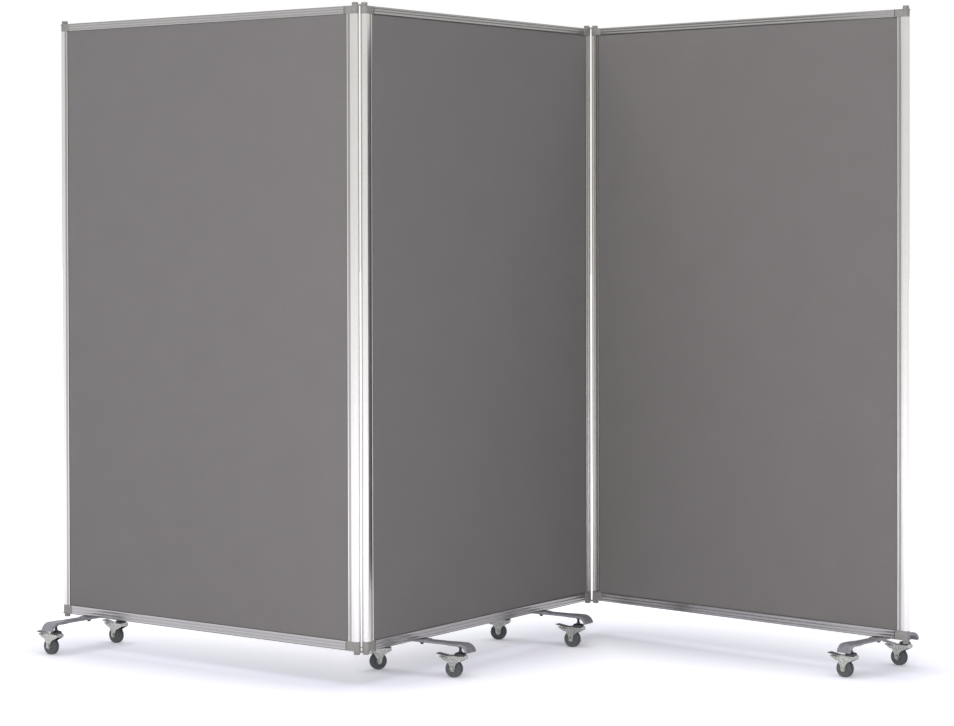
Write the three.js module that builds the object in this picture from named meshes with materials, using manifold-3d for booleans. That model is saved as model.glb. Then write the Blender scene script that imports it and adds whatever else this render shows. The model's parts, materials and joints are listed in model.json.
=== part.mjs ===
// A three-panel ward screen on castors: felt-faced boards in aluminium frames, joined by small
// link plates so that each outer panel folds flat to either side of the middle one.
// Millimetres, +Z up. +X runs along the middle panel, from its left end to its right end, and +Y
// points away from the side that the screen is seen from. The origin is on the floor, under the
// centre of the opened screen's outline.

import * as THREE from "three";
import { mergeVertices } from "three/addons/utils/BufferGeometryUtils.js";
import Module from "manifold-3d";

const wasm = await Module();
wasm.setup();

// Clearances
const seatGap = 0.3; // between pieces that are fixed face to face
const runningGap = 0.3; // round pins, and beside pieces that turn
const cutOverrun = 1; // how far a cutting tool runs past the faces that it opens

// Panels
const panelWidth = 1200; // over the round noses of its two posts
const panelHeight = 1812; // from the underside of the bottom rail to the top of the top rail
const frameThickness = 22;
const feltRecess = 1; // the felt lies this far behind the faces of the frame
const tongueThickness = 14; // the board's edge, where it sits in the frame
const channelDepth = 6; // how far the frame grips the board
const extrusionWall = 1.8;

// Posts
const postWidth = 33;
const postLip = 3; // bright strip beside the felt
const postGrooveWidth = 9;
const postGrooveDepth = 1;
const noseFacets = 12;

// Rails
const bottomRailHeight = 27;
const topRailHeight = 22;
const railChamfer = 2;
const railGrooves = 2;
const railGrooveHeight = 2.6;
const railGrooveDepth = 0.8;

// Corner fittings and their knobs
const cornerLap = 10; // over the end of the rail
const cornerChamfer = 2;
const spigotLength = 26;
const knobDiameter = 18;
const knobHeight = 10; // past the frame, with the neck
const knobChamfer = 1.5;
const neckDiameter = 10;
const collarDiameter = 26.6; // ring at the root of each outer knob
const collarHeight = 4;
const knobSides = 12;

// Link plates
const postGap = 4; // between the round noses of two joined panels
const linkThickness = 4;
const linkFacets = 12;

// How the screen stands open, in degrees about +Z
const leftPanelHeading = 86; // from the middle panel's line, away from the viewer
const rightPanelHeading = -99.2;
const leftLinkHeading = 128;
const rightLinkHeading = -58;

// Feet
const outerFootInset = 95; // from the outer knob of an outer panel
const middleFootInset = 271; // from each knob of the middle panel
const footReach = 175; // from the panel's centre plane to the tip of the foot
const footWidth = 32;
const footEndWidth = 46;
const footThickness = 7.5;
const hookRadius = 30;
const hookFacets = 6;
const hookClearance = 6.2; // above the highest point that a brake pedal passes
const saddleHeight = 2;
const saddleTopLength = 56;
const saddleLength = 64;
const boltDiameter = 8;
const boltShow = 2.5; // below its nut
const boltGrip = 7; // into the bottom rail
const nutHeight = 5;
const nutDiameter = 14; // over its corners
const flareShares = [0.5, 0.68]; // of the reach: where the bar starts to widen and where it ends

// Castors
const wheelDiameter = 50;
const tyreWidth = 18;
const tyreShoulder = 2.5;
const tyreDepth = 12;
const hubDiameter = 18;
const webInset = 3; // from the side of the tyre to the wheel's web
const wheelSides = 16;
const trail = 20; // from the stem to the axle
const axleDiameter = 8;
const axleNutDiameter = 13;
const axleNutWidth = 4;
const crownClearance = 12; // from the tyre to the fork's crown
const crownThickness = 3;
const headHeight = 11.5;
const headDiameter = 34;
const headTopDiameter = 16;
const headRim = 3;
const headSides = 12;
const legThickness = 2;
const legSideClearance = 3.3; // from the tyre to each leg
const legFrontDepth = 8; // of the legs' front edges and the lip between them, below the crown
const legFacets = 4;
const legWaistHeight = 33; // where the leg has narrowed from the crown, above the floor
const legWaistReach = 9; // to each of its edges there, from the axle
const axleBossDiameter = 16;
const axleBossArc = [188, 352]; // round the axle, in degrees above the level
const pedalLobeArc = [-30, 90]; // round the pedal's pin, likewise
const stemDiameter = 8;
const stemShow = 16; // between the swivel head and the foot
const stemRivetDiameter = 13;
const stemRivetHeight = 3;
const castorInset = 40; // from the tip of the foot to the stem
const pinSides = 8;
const nutSides = 6;

// Brake pedals
const pedalPivotClearance = 9.4; // from the tyre to the pedal's pin
const pedalPivotAngle = 64; // of the pin above the level, seen from the axle
const pedalPinDiameter = 5;
const pedalPinHeadDiameter = 8;
const pedalPinHeadWidth = 1.5;
const pedalBarrelDiameter = 10;
const pedalLobeDiameter = 12; // round the pin, at the rear corner of each leg
const pedalThickness = 2;
const pedalReach = 38; // from the pin to the tip
const pedalTipRise = 10.5;
const pedalHeel = 7; // the plate goes on past the pin towards the stem
const pedalHeelRise = 3.5;
const pedalTabReach = 29;
const pedalTabRise = 3;
const pedalTabDrop = 6; // of the release tab's root, below the pin
const pedalTabHeel = 9; // its lowest corner, past the pin
const pedalTabHeelDrop = 8.5;
const pedalPadWidth = 25;
const pedalPadLength = 26;

// Where the eight castors have swivelled to: the wheel trails this way, in degrees about +Z
const castorHeadings = {
  left: [88, 86],
  middle_left: [99, 147],
  middle_right: [96, 115],
  right: [86, 82],
};

// Sizes that follow from the ones above
const noseRadius = frameThickness / 2;
const pivotSpan = panelWidth - frameThickness; // between the two knobs of one end of a panel
const linkPitch = frameThickness + postGap;
const postBack = postWidth - noseRadius; // from the knob's axis to the edge beside the felt
const boardThickness = frameThickness - 2 * feltRecess;
const channelHalf = tongueThickness / 2 + seatGap;
const wheelRadius = wheelDiameter / 2;
const tyreSide = tyreWidth / 2;
const legInside = tyreSide + legSideClearance;
const legOutside = legInside + legThickness;
const crownBottom = wheelDiameter + crownClearance;
const crownTop = crownBottom + crownThickness;
const castorHeight = crownTop + headHeight;
const footBottom = castorHeight + stemShow;
const footTop = footBottom + footThickness;
const frameBottom = footTop + saddleHeight;
const castorOffset = footReach - castorInset;
const pedalPivotDistance = wheelRadius + pedalPivotClearance;
const pedalPivotX = trail + pedalPivotDistance * Math.cos(THREE.MathUtils.degToRad(pedalPivotAngle));
const pedalPivotZ = wheelRadius + pedalPivotDistance * Math.sin(THREE.MathUtils.degToRad(pedalPivotAngle));
const pedalTop = pedalPivotZ + pedalTipRise + pedalThickness;

const materials = {
  felt: new THREE.MeshStandardMaterial({ color: 0x74706f, roughness: 0.95, metalness: 0 }),
  aluminium: new THREE.MeshStandardMaterial({ color: 0xd4d4d2, roughness: 0.35, metalness: 0.9 }),
  fitting: new THREE.MeshStandardMaterial({ color: 0x989590, roughness: 0.5, metalness: 0.1 }),
  foot: new THREE.MeshStandardMaterial({ color: 0x96949a, roughness: 0.45, metalness: 0.6 }),
  zinc: new THREE.MeshStandardMaterial({ color: 0xc4c8c4, roughness: 0.3, metalness: 0.9 }),
  rubber: new THREE.MeshStandardMaterial({ color: 0x4b5052, roughness: 0.8, metalness: 0 }),
  pedal: new THREE.MeshStandardMaterial({ color: 0x5a5d5f, roughness: 0.4, metalness: 0.8 }),
};

// Solids

// A closed geometry as a solid that can be joined and cut.
function solid(geometry) {
  const bare = geometry.index ? geometry.toNonIndexed() : geometry.clone();
  bare.deleteAttribute("normal");
  bare.deleteAttribute("uv");
  const merged = mergeVertices(bare);
  const vertProperties = new Float32Array(merged.attributes.position.array);
  const triVerts = new Uint32Array(merged.index.array);
  return new wasm.Manifold(new wasm.Mesh({ numProp: 3, vertProperties, triVerts }));
}

// The geometry of a finished solid.
function geometryOf(body) {
  const { vertProperties, triVerts } = body.getMesh();
  const geometry = new THREE.BufferGeometry();
  geometry.setAttribute("position", new THREE.BufferAttribute(vertProperties, 3));
  geometry.setIndex(new THREE.BufferAttribute(triVerts, 1));
  return geometry;
}

function joined(bodies) {
  return bodies.reduce((whole, body) => whole.add(body));
}

function box(minimum, maximum) {
  const size = new THREE.Vector3().subVectors(maximum, minimum);
  const centre = new THREE.Vector3().addVectors(minimum, maximum).multiplyScalar(0.5);
  return solid(new THREE.BoxGeometry(size.x, size.y, size.z).translate(...centre));
}

// A prism over an outline, which starts as a shape in the XY plane and rises along +Z.
function prism(shape, length, arcFacets = noseFacets) {
  const curveSegments = arcFacets / 2;
  return new THREE.ExtrudeGeometry(shape, { depth: length, bevelEnabled: false, curveSegments });
}

// An outline in plan, raised from one height to another.
function raised(shape, bottom, top, arcFacets) {
  return solid(prism(shape, top - bottom, arcFacets).translate(0, 0, bottom));
}

// An outline of depth and height (y, z), spread evenly along x.
function spreadAlongX(shape, width, arcFacets) {
  const turn = new THREE.Matrix4().set(0, 0, 1, -width / 2, 1, 0, 0, 0, 0, 1, 0, 0, 0, 0, 0, 1);
  return solid(prism(shape, width, arcFacets).applyMatrix4(turn));
}

// An outline of length and height (x, z), spread along y between two planes.
function spreadAlongY(shape, near, far, arcFacets) {
  return solid(prism(shape, far - near, arcFacets).rotateX(Math.PI / 2).translate(0, far, 0));
}

// A round bar along +Z, or along +Y.
function barAlongZ(diameter, bottom, top, sides) {
  const radius = diameter / 2;
  const bar = new THREE.CylinderGeometry(radius, radius, top - bottom, sides);
  return solid(bar.rotateX(Math.PI / 2).translate(0, 0, (bottom + top) / 2));
}

function barAlongY(diameter, halfLength, x, z, sides) {
  const radius = diameter / 2;
  return solid(new THREE.CylinderGeometry(radius, radius, 2 * halfLength, sides).translate(x, 0, z));
}

// A turned piece: pairs of radius and height, from the bottom of its axis to the top.
function turned(profile, sides) {
  const points = profile.map(([radius, height]) => new THREE.Vector2(radius, height));
  return solid(new THREE.LatheGeometry(points, sides).rotateX(Math.PI / 2));
}

function polygon(points) {
  return new THREE.Shape(points.map(([x, y]) => new THREE.Vector2(x, y)));
}

function circle(x, y, radius) {
  return new THREE.Path().absarc(x, y, radius, 0, 2 * Math.PI, true);
}

// Frame

// Height of the extrusion's bore off the centre plane, behind its deepest groove.
function boreHalf(grooveDepth) {
  return noseRadius - grooveDepth - extrusionWall;
}

// Reach of the post's bore from the knob's axis, into the nose and back towards the board.
function postBore() {
  const half = boreHalf(postGrooveDepth);
  const front = Math.sqrt((noseRadius - extrusionWall) ** 2 - half ** 2);
  const back = postBack - channelDepth - extrusionWall;
  return { half, front, back };
}

// The post in plan: round nose, a shallow groove in each face, a channel for the board, a bore.
function postShape() {
  const grooveStart = -postBack + postLip;
  const grooveEnd = grooveStart + postGrooveWidth;
  const grooveFloor = noseRadius - postGrooveDepth;
  const shape = new THREE.Shape();
  shape.moveTo(-postBack, -channelHalf);
  shape.lineTo(-postBack, -noseRadius);
  shape.lineTo(grooveStart, -noseRadius);
  shape.lineTo(grooveStart, -grooveFloor);
  shape.lineTo(grooveEnd, -grooveFloor);
  shape.lineTo(grooveEnd, -noseRadius);
  shape.lineTo(0, -noseRadius);
  shape.absarc(0, 0, noseRadius, -Math.PI / 2, Math.PI / 2, false);
  shape.lineTo(grooveEnd, noseRadius);
  shape.lineTo(grooveEnd, grooveFloor);
  shape.lineTo(grooveStart, grooveFloor);
  shape.lineTo(grooveStart, noseRadius);
  shape.lineTo(-postBack, noseRadius);
  shape.lineTo(-postBack, channelHalf);
  shape.lineTo(-postBack + channelDepth, channelHalf);
  shape.lineTo(-postBack + channelDepth, -channelHalf);
  const { half, front, back } = postBore();
  shape.holes.push(polygon([[-back, -half], [-back, half], [front, half], [front, -half]]));
  return shape;
}

function postGeometry() {
  const low = bottomRailHeight + seatGap;
  return geometryOf(raised(postShape(), low, panelHeight - topRailHeight - seatGap));
}

// The bore of a rail of some height, measured from its outer face.
function railBore(height) {
  return {
    half: boreHalf(railGrooveDepth),
    low: extrusionWall,
    high: height - channelDepth - extrusionWall,
  };
}

// One side of the rail's outline, from the outer face up to the board: chamfer and grooves.
function railFace(side, height) {
  const points = [
    [side * (noseRadius - railChamfer), 0],
    [side * noseRadius, railChamfer],
  ];
  for (let i = 1; i <= railGrooves; i++) {
    const middle = (height * i) / (railGrooves + 1);
    const low = middle - railGrooveHeight / 2;
    const high = middle + railGrooveHeight / 2;
    const floor = noseRadius - railGrooveDepth;
    points.push([side * noseRadius, low], [side * floor, low]);
    points.push([side * floor, high], [side * noseRadius, high]);
  }
  points.push([side * noseRadius, height], [side * channelHalf, height]);
  points.push([side * channelHalf, height - channelDepth]);
  return points;
}

// A rail with its outer face down, and a bolt hole for each foot that it stands on.
function railGeometry(height, footPlaces) {
  const length = panelWidth - 2 * (postWidth + cornerLap + seatGap);
  const shape = polygon([...railFace(1, height), ...railFace(-1, height).reverse()]);
  const { half, low, high } = railBore(height);
  shape.holes.push(polygon([[-half, low], [-half, high], [half, high], [half, low]]));
  let rail = spreadAlongX(shape, length);
  for (const place of footPlaces) {
    const hole = barAlongZ(boltDiameter + 2 * seatGap, -cutOverrun, extrusionWall + cutOverrun, pinSides);
    rail = rail.subtract(hole.translate(place, 0, 0));
  }
  return geometryOf(rail);
}

// The board: a core that fills the frame and a thinner tongue all round it.
function boardGeometry() {
  const halfWidth = panelWidth / 2 - postWidth - seatGap;
  const side = boardThickness / 2;
  const tongue = tongueThickness / 2;
  const tongueReach = channelDepth - seatGap;
  const railHalf = panelWidth / 2 - postWidth - cornerLap - seatGap;
  const block = (x, y, gap) =>
    box(
      new THREE.Vector3(-x, -y, bottomRailHeight + gap),
      new THREE.Vector3(x, y, panelHeight - topRailHeight - gap),
    );
  return geometryOf(
    joined([
      block(halfWidth, side, seatGap),
      block(halfWidth + tongueReach, tongue, 2 * seatGap),
      block(railHalf, tongue, seatGap - tongueReach),
    ]),
  );
}

// The block of a corner fitting, its inner end chamfered where it laps the rail.
function cornerShape() {
  const back = postBack + cornerLap;
  const shape = new THREE.Shape();
  shape.moveTo(-back, noseRadius - cornerChamfer);
  shape.lineTo(-back, cornerChamfer - noseRadius);
  shape.lineTo(cornerChamfer - back, -noseRadius);
  shape.lineTo(0, -noseRadius);
  shape.absarc(0, 0, noseRadius, -Math.PI / 2, Math.PI / 2, false);
  shape.lineTo(cornerChamfer - back, noseRadius);
  return shape;
}

// The tongues that hold the corner fitting in the bores of its post and its rail.
function cornerSpigots(height) {
  const post = postBore();
  const rail = railBore(height);
  const railEnd = postBack + cornerLap;
  const upper = box(
    new THREE.Vector3(seatGap - post.back, seatGap - post.half, height / 2),
    new THREE.Vector3(post.front - seatGap, post.half - seatGap, height + spigotLength),
  );
  const level = box(
    new THREE.Vector3(-railEnd - spigotLength, seatGap - rail.half, rail.low + seatGap),
    new THREE.Vector3(-postBack, rail.half - seatGap, rail.high - seatGap),
  );
  return joined([upper, level]);
}

// The knob under a bottom corner: its neck, where it carries a link plate, and its head.
function knob(neckLength) {
  const radius = knobDiameter / 2;
  const neck = neckDiameter / 2;
  return turned(
    [
      [0, -knobHeight],
      [radius - knobChamfer, -knobHeight],
      [radius, knobChamfer - knobHeight],
      [radius, -neckLength],
      [neck, -neckLength],
      [neck, topRailHeight / 2],
      [0, topRailHeight / 2],
    ],
    knobSides,
  );
}

// A corner fitting as high as its rail. It lies here as at the bottom of a right-hand end, on the
// knob's axis.
function hingeCornerGeometry(height) {
  const block = raised(cornerShape(), 0, height);
  return geometryOf(joined([block, cornerSpigots(height), knob(linkThickness + 2 * runningGap)]));
}

// At a free end a collar takes the place of the link plate.
function freeCornerGeometry(height) {
  const block = raised(cornerShape(), 0, height);
  const collar = barAlongZ(collarDiameter, 0, collarHeight, knobSides);
  return geometryOf(joined([block, collar, cornerSpigots(height), knob(0)]));
}

// A link plate, from one knob's axis at the origin to the next along +X.
function linkGeometry() {
  const radius = knobDiameter / 2;
  const shape = new THREE.Shape();
  shape.absarc(0, 0, radius, Math.PI / 2, (3 * Math.PI) / 2, false);
  shape.absarc(linkPitch, 0, radius, -Math.PI / 2, Math.PI / 2, false);
  const holeRadius = neckDiameter / 2 + runningGap;
  shape.holes.push(circle(0, 0, holeRadius), circle(linkPitch, 0, holeRadius));
  return geometryOf(raised(shape, 0, linkThickness, linkFacets));
}

// Feet

// Sweep of the hook's arc, which ends just above the brake pedals' path.
function hookSweep() {
  const lowest = pedalTop + hookClearance;
  return Math.acos((lowest - footTop + hookRadius) / (hookRadius - footThickness));
}

// The bar from the side: level, its ends hooked down.
function footSideShape() {
  const sweep = hookSweep();
  const level = footReach - hookRadius * Math.sin(sweep);
  const centreHeight = footTop - hookRadius;
  const upright = Math.PI / 2;
  const inner = hookRadius - footThickness;
  const shape = new THREE.Shape();
  shape.absarc(-level, centreHeight, hookRadius, upright, upright + sweep, false);
  shape.absarc(-level, centreHeight, inner, upright + sweep, upright, true);
  shape.absarc(level, centreHeight, inner, upright, upright - sweep, true);
  shape.absarc(level, centreHeight, hookRadius, upright - sweep, upright, false);
  return shape;
}

// The bar in plan: narrow in the middle and wider at both hooks.
function footPlanShape() {
  const [flareStart, flareEnd] = flareShares.map((share) => share * footReach);
  const tip = footReach + cutOverrun;
  const middle = footWidth / 2;
  const end = footEndWidth / 2;
  const right = [[end, -tip], [end, -flareEnd], [middle, -flareStart]];
  right.push([middle, flareStart], [end, flareEnd], [end, tip]);
  const left = right.map(([x, y]) => [-x, y]).reverse();
  return polygon([...right, ...left]);
}

// The wedge between the bar and the rail.
function footSaddle() {
  const top = saddleTopLength / 2;
  const foot = saddleLength / 2;
  const height = frameBottom - seatGap;
  const root = footBottom + footThickness / 2;
  const shape = polygon([[-foot, root], [foot, root], [foot, footTop], [top, height],
    [-top, height], [-foot, footTop]]);
  return spreadAlongX(shape, footWidth);
}

// The bolt that holds the foot to its rail, with the nut under the bar.
function footBolt() {
  const boltEnd = footBottom - nutHeight - boltShow;
  const shank = barAlongZ(boltDiameter, boltEnd, frameBottom + boltGrip, pinSides);
  const nut = barAlongZ(nutDiameter, footBottom - nutHeight, footTop, nutSides);
  return joined([shank, nut]);
}

// A castor's stem, held in the bar, with the rivet head that carries the fork.
function footStem() {
  const rivetTop = crownBottom - runningGap;
  const stem = barAlongZ(stemDiameter, rivetTop - stemRivetHeight, footTop - footThickness / 2, pinSides);
  const rivet = barAlongZ(stemRivetDiameter, rivetTop - stemRivetHeight, rivetTop, pinSides);
  return joined([stem, rivet]);
}

function footGeometry() {
  const side = spreadAlongX(footSideShape(), footEndWidth, hookFacets);
  const plan = raised(footPlanShape(), 0, frameBottom);
  const stems = [-1, 1].map((end) => footStem().translate(0, end * castorOffset, 0));
  return geometryOf(joined([side.intersect(plan), footSaddle(), footBolt(), ...stems]));
}

// Castors: the stem stands on the origin and the wheel trails along +X.

function wheelGeometry() {
  const bore = axleDiameter / 2 + runningGap;
  const hub = hubDiameter / 2;
  const hubSide = legInside - runningGap;
  const webSide = tyreSide - webInset;
  const rim = wheelRadius - tyreDepth;
  const shoulder = wheelRadius - tyreShoulder;
  const near = [[bore, -hubSide], [hub, -hubSide], [hub, -webSide], [rim, -webSide], [rim, -tyreSide],
    [shoulder, -tyreSide], [wheelRadius, tyreShoulder - tyreSide]];
  const far = near.map(([radius, side]) => [radius, -side]).reverse();
  // Scaled so that the flats of the tread lie on the wheel's radius, and turned to stand on one.
  const flat = Math.PI / wheelSides;
  const points = [...near, ...far, near[0]].map(
    ([radius, side]) => new THREE.Vector2(radius / Math.cos(flat), side),
  );
  return geometryOf(solid(new THREE.LatheGeometry(points, wheelSides, flat)));
}

// One leg from the side: crown edge, waist, axle boss at the bottom and a lobe for the pedal's pin.
function legShape() {
  const [bossStart, bossEnd] = axleBossArc.map(THREE.MathUtils.degToRad);
  const [lobeStart, lobeEnd] = pedalLobeArc.map(THREE.MathUtils.degToRad);
  const head = headDiameter / 2;
  const shape = new THREE.Shape();
  shape.moveTo(-head, crownTop);
  shape.lineTo(-head, crownBottom - legFrontDepth);
  shape.lineTo(trail - legWaistReach, legWaistHeight);
  shape.absarc(trail, wheelRadius, axleBossDiameter / 2, bossStart, bossEnd, false);
  shape.lineTo(trail + legWaistReach, legWaistHeight);
  shape.absarc(pedalPivotX, pedalPivotZ, pedalLobeDiameter / 2, lobeStart, lobeEnd, false);
  shape.lineTo(head, crownTop);
  return shape;
}

// The swivel head: a domed raceway on the crown of the fork.
function swivelHead() {
  const bore = stemDiameter / 2 + runningGap;
  const head = headDiameter / 2;
  const top = headTopDiameter / 2;
  const points = [
    [bore, crownBottom],
    [head, crownBottom],
    [head, crownTop + headRim],
    [top, castorHeight],
    [bore, castorHeight],
    [bore, crownBottom],
  ];
  return turned(points, headSides);
}

// The plate that joins the two legs under the swivel head, with a hole for the stem and a lip that
// turns down between the legs' front edges.
function forkCrown() {
  const head = headDiameter / 2;
  const plate = box(
    new THREE.Vector3(-head, -legOutside, crownBottom),
    new THREE.Vector3(head, legOutside, crownTop),
  );
  const lip = box(
    new THREE.Vector3(-head, -legOutside, crownBottom - legFrontDepth),
    new THREE.Vector3(legThickness - head, legOutside, crownTop),
  );
  const hole = barAlongZ(
    stemDiameter + 2 * runningGap, crownBottom - cutOverrun, crownTop + cutOverrun, headSides);
  return joined([plate, lip]).subtract(hole);
}

// A nut or a rivet head against the outside of each leg, centred on an axis along y.
function sideHeads(diameter, width, x, z, sides) {
  const half = (legThickness + width) / 2;
  const head = barAlongY(diameter, half, x, z, sides);
  return [head.translate(0, -legInside - half, 0), head.translate(0, legInside + half, 0)];
}

function forkGeometry() {
  return geometryOf(
    joined([
      swivelHead(),
      forkCrown(),
      spreadAlongY(legShape(), -legOutside, -legInside, legFacets),
      spreadAlongY(legShape(), legInside, legOutside, legFacets),
      barAlongY(axleDiameter, legOutside, trail, wheelRadius, pinSides),
      ...sideHeads(axleNutDiameter, axleNutWidth, trail, wheelRadius, nutSides),
      barAlongY(pedalPinDiameter, legOutside, pedalPivotX, pedalPivotZ, pinSides),
      ...sideHeads(pedalPinHeadDiameter, pedalPinHeadWidth, pedalPivotX, pedalPivotZ, pinSides),
    ]),
  );
}

// The brake pedal: a barrel on the pin, a long tread plate and a shorter release tab below it.
function pedalGeometry() {
  const x = pedalPivotX;
  const z = pedalPivotZ;
  const side = legInside - runningGap;
  const tip = x + pedalReach;
  const tipLow = z + pedalTipRise;
  const tread = polygon([[x - pedalHeel, z + pedalHeelRise], [tip, tipLow],
    [tip, tipLow + pedalThickness], [x - pedalHeel, z + pedalHeelRise + pedalThickness]]);
  const tab = polygon([[x, z - pedalTabDrop], [x + pedalTabHeel, z - pedalTabHeelDrop],
    [x + pedalTabReach, z + pedalTabRise], [x + pedalTabReach, z + pedalTabRise + pedalThickness], [x, z]]);
  const slope = (tipLow - z - pedalHeelRise) / (pedalReach + pedalHeel);
  const padStart = tip - pedalPadLength;
  const padLow = tipLow - slope * pedalPadLength;
  const pad = polygon([[padStart, padLow], [tip, tipLow], [tip, tipLow + pedalThickness],
    [padStart, padLow + pedalThickness]]);
  const pinHole = barAlongY(pedalPinDiameter + 2 * runningGap, legOutside, x, z, pinSides);
  return geometryOf(
    joined([
      barAlongY(pedalBarrelDiameter, side, x, z, pinSides),
      spreadAlongY(tread, -side, side),
      spreadAlongY(tab, -side, side),
      spreadAlongY(pad, -pedalPadWidth / 2, pedalPadWidth / 2),
    ]).subtract(pinHole),
  );
}

// Assembly

const geometries = {
  board: boardGeometry(),
  post: postGeometry(),
  hingeCorners: { bottom: hingeCornerGeometry(bottomRailHeight), top: hingeCornerGeometry(topRailHeight) },
  freeCorners: { bottom: freeCornerGeometry(bottomRailHeight), top: freeCornerGeometry(topRailHeight) },
  link: linkGeometry(),
  foot: footGeometry(),
  fork: forkGeometry(),
  wheel: wheelGeometry(),
  pedal: pedalGeometry(),
};

function named(name, geometry, material) {
  const mesh = new THREE.Mesh(geometry, material);
  mesh.name = name;
  return mesh;
}

// A castor on its stem, turned to the way that its wheel trails in the open screen.
function castor(name, y, turn) {
  const wheel = named(`${name}_wheel`, geometries.wheel, materials.rubber);
  wheel.position.set(trail, 0, wheelRadius);
  const group = new THREE.Group();
  group.name = `${name}_castor`;
  group.position.y = y;
  group.rotation.z = THREE.MathUtils.degToRad(turn);
  group.add(
    named(`${name}_fork`, geometries.fork, materials.zinc),
    wheel,
    named(`${name}_pedal`, geometries.pedal, materials.pedal),
  );
  return group;
}

// A foot across its panel, with a castor at the front end and one at the rear end.
function foot(name, x, panelHeading) {
  const [front, rear] = castorHeadings[name];
  const group = new THREE.Group();
  group.position.x = x;
  group.add(
    named(`${name}_foot`, geometries.foot, materials.foot),
    castor(`${name}_front`, -castorOffset, front - panelHeading),
    castor(`${name}_rear`, castorOffset, rear - panelHeading),
  );
  return group;
}

// One end of a panel as it stands at the right: a post between two corner fittings.
function panelEnd(name, corners) {
  const topCorner = named(`${name}_top_corner`, corners.top, materials.fitting);
  topCorner.rotation.x = Math.PI;
  topCorner.position.z = panelHeight;
  const group = new THREE.Group();
  group.position.x = pivotSpan / 2;
  group.add(
    named(`${name}_post`, geometries.post, materials.aluminium),
    named(`${name}_bottom_corner`, corners.bottom, materials.fitting),
    topCorner,
  );
  return group;
}

// A panel on its feet: its left end at -X and its right end at +X, seen from -Y.
function panel(name, leftCorners, rightCorners, footPlaces) {
  const bottomRail = railGeometry(bottomRailHeight, footPlaces);
  const topRail = named(`${name}_top_rail`, railGeometry(topRailHeight, []), materials.aluminium);
  topRail.rotation.x = Math.PI;
  topRail.position.z = panelHeight;
  const leftEnd = panelEnd(`${name}_left`, leftCorners);
  leftEnd.position.x *= -1;
  leftEnd.rotation.z = Math.PI;
  const frame = new THREE.Group();
  frame.position.z = frameBottom;
  frame.add(
    named(`${name}_board`, geometries.board, materials.felt),
    named(`${name}_bottom_rail`, bottomRail, materials.aluminium),
    topRail,
    leftEnd,
    panelEnd(`${name}_right`, rightCorners),
  );
  return new THREE.Group().add(frame);
}

// The two link plates of one hinge, above and below the frames that they join.
function links(name) {
  const group = new THREE.Group();
  const top = named(`${name}_top_link`, geometries.link, materials.fitting);
  const bottom = named(`${name}_bottom_link`, geometries.link, materials.fitting);
  top.position.z = frameBottom + panelHeight + runningGap;
  bottom.position.z = frameBottom - runningGap - linkThickness;
  group.add(top, bottom);
  return group;
}

// A group turned about the knob that it hangs on.
function pivot(x, heading) {
  const group = new THREE.Group();
  group.position.x = x;
  group.rotation.z = THREE.MathUtils.degToRad(heading);
  return group;
}

// An outer panel on its links: the links turn on the middle panel's knob, the panel on theirs.
function outerPanel(name, side, linkHeading, panelHeading) {
  const leftHand = side < 0;
  const knobPlace = (side * pivotSpan) / 2;
  const footPlace = side * (pivotSpan / 2 - outerFootInset);
  const bodyHeading = leftHand ? panelHeading - 180 : panelHeading;
  const leftCorners = leftHand ? geometries.freeCorners : geometries.hingeCorners;
  const rightCorners = leftHand ? geometries.hingeCorners : geometries.freeCorners;
  const body = panel(name, leftCorners, rightCorners, [footPlace]);
  body.add(foot(name, footPlace, bodyHeading));
  body.position.x = knobPlace;
  const panelPivot = pivot(linkPitch, bodyHeading - linkHeading);
  panelPivot.name = `${name}_panel_pivot`;
  panelPivot.add(body);
  const linkPivot = pivot(knobPlace, linkHeading);
  linkPivot.name = `${name}_link_pivot`;
  linkPivot.add(links(name), panelPivot);
  return linkPivot;
}

function middlePanel() {
  const footPlace = pivotSpan / 2 - middleFootInset;
  const corners = geometries.hingeCorners;
  const body = panel("middle", corners, corners, [-footPlace, footPlace]);
  body.add(foot("middle_left", -footPlace, 0), foot("middle_right", footPlace, 0));
  return body;
}

const screen = new THREE.Group();
screen.add(middlePanel());
screen.add(outerPanel("left", -1, leftLinkHeading, leftPanelHeading));
screen.add(outerPanel("right", 1, rightLinkHeading, rightPanelHeading));

// The floor point under the middle of the open screen becomes the origin.
const outline = new THREE.Box3().setFromObject(screen, true);
const middle = outline.getCenter(new THREE.Vector3());
screen.position.set(-middle.x, -middle.y, 0);

export default screen;
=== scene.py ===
"""A three-panel ward screen on castors: felt boards in aluminium frames, on feet with braked castors.

Lengths are metres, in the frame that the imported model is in: +Z is up and the floor is at zero.
"""

import json
import math

import bpy
import numpy as np
from mathutils import Matrix, Vector


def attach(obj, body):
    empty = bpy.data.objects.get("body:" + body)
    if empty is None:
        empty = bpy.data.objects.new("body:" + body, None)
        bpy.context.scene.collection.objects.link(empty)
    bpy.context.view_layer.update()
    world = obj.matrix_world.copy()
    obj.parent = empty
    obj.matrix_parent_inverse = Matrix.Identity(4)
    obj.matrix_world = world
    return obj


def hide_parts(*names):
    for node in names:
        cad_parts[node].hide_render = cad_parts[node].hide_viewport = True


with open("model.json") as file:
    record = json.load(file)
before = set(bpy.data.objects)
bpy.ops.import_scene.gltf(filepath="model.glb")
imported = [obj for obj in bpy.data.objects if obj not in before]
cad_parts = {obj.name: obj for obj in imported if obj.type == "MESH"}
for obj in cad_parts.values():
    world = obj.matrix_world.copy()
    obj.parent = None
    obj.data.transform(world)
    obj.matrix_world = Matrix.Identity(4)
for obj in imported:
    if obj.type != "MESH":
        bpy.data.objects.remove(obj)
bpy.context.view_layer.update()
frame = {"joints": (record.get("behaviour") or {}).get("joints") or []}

# Where things stand. Each castor's swivel and axle say where it is and which way its wheel trails;
# the two castors of a foot say how the foot lies, and the foot's inset says where its panel is.

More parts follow.
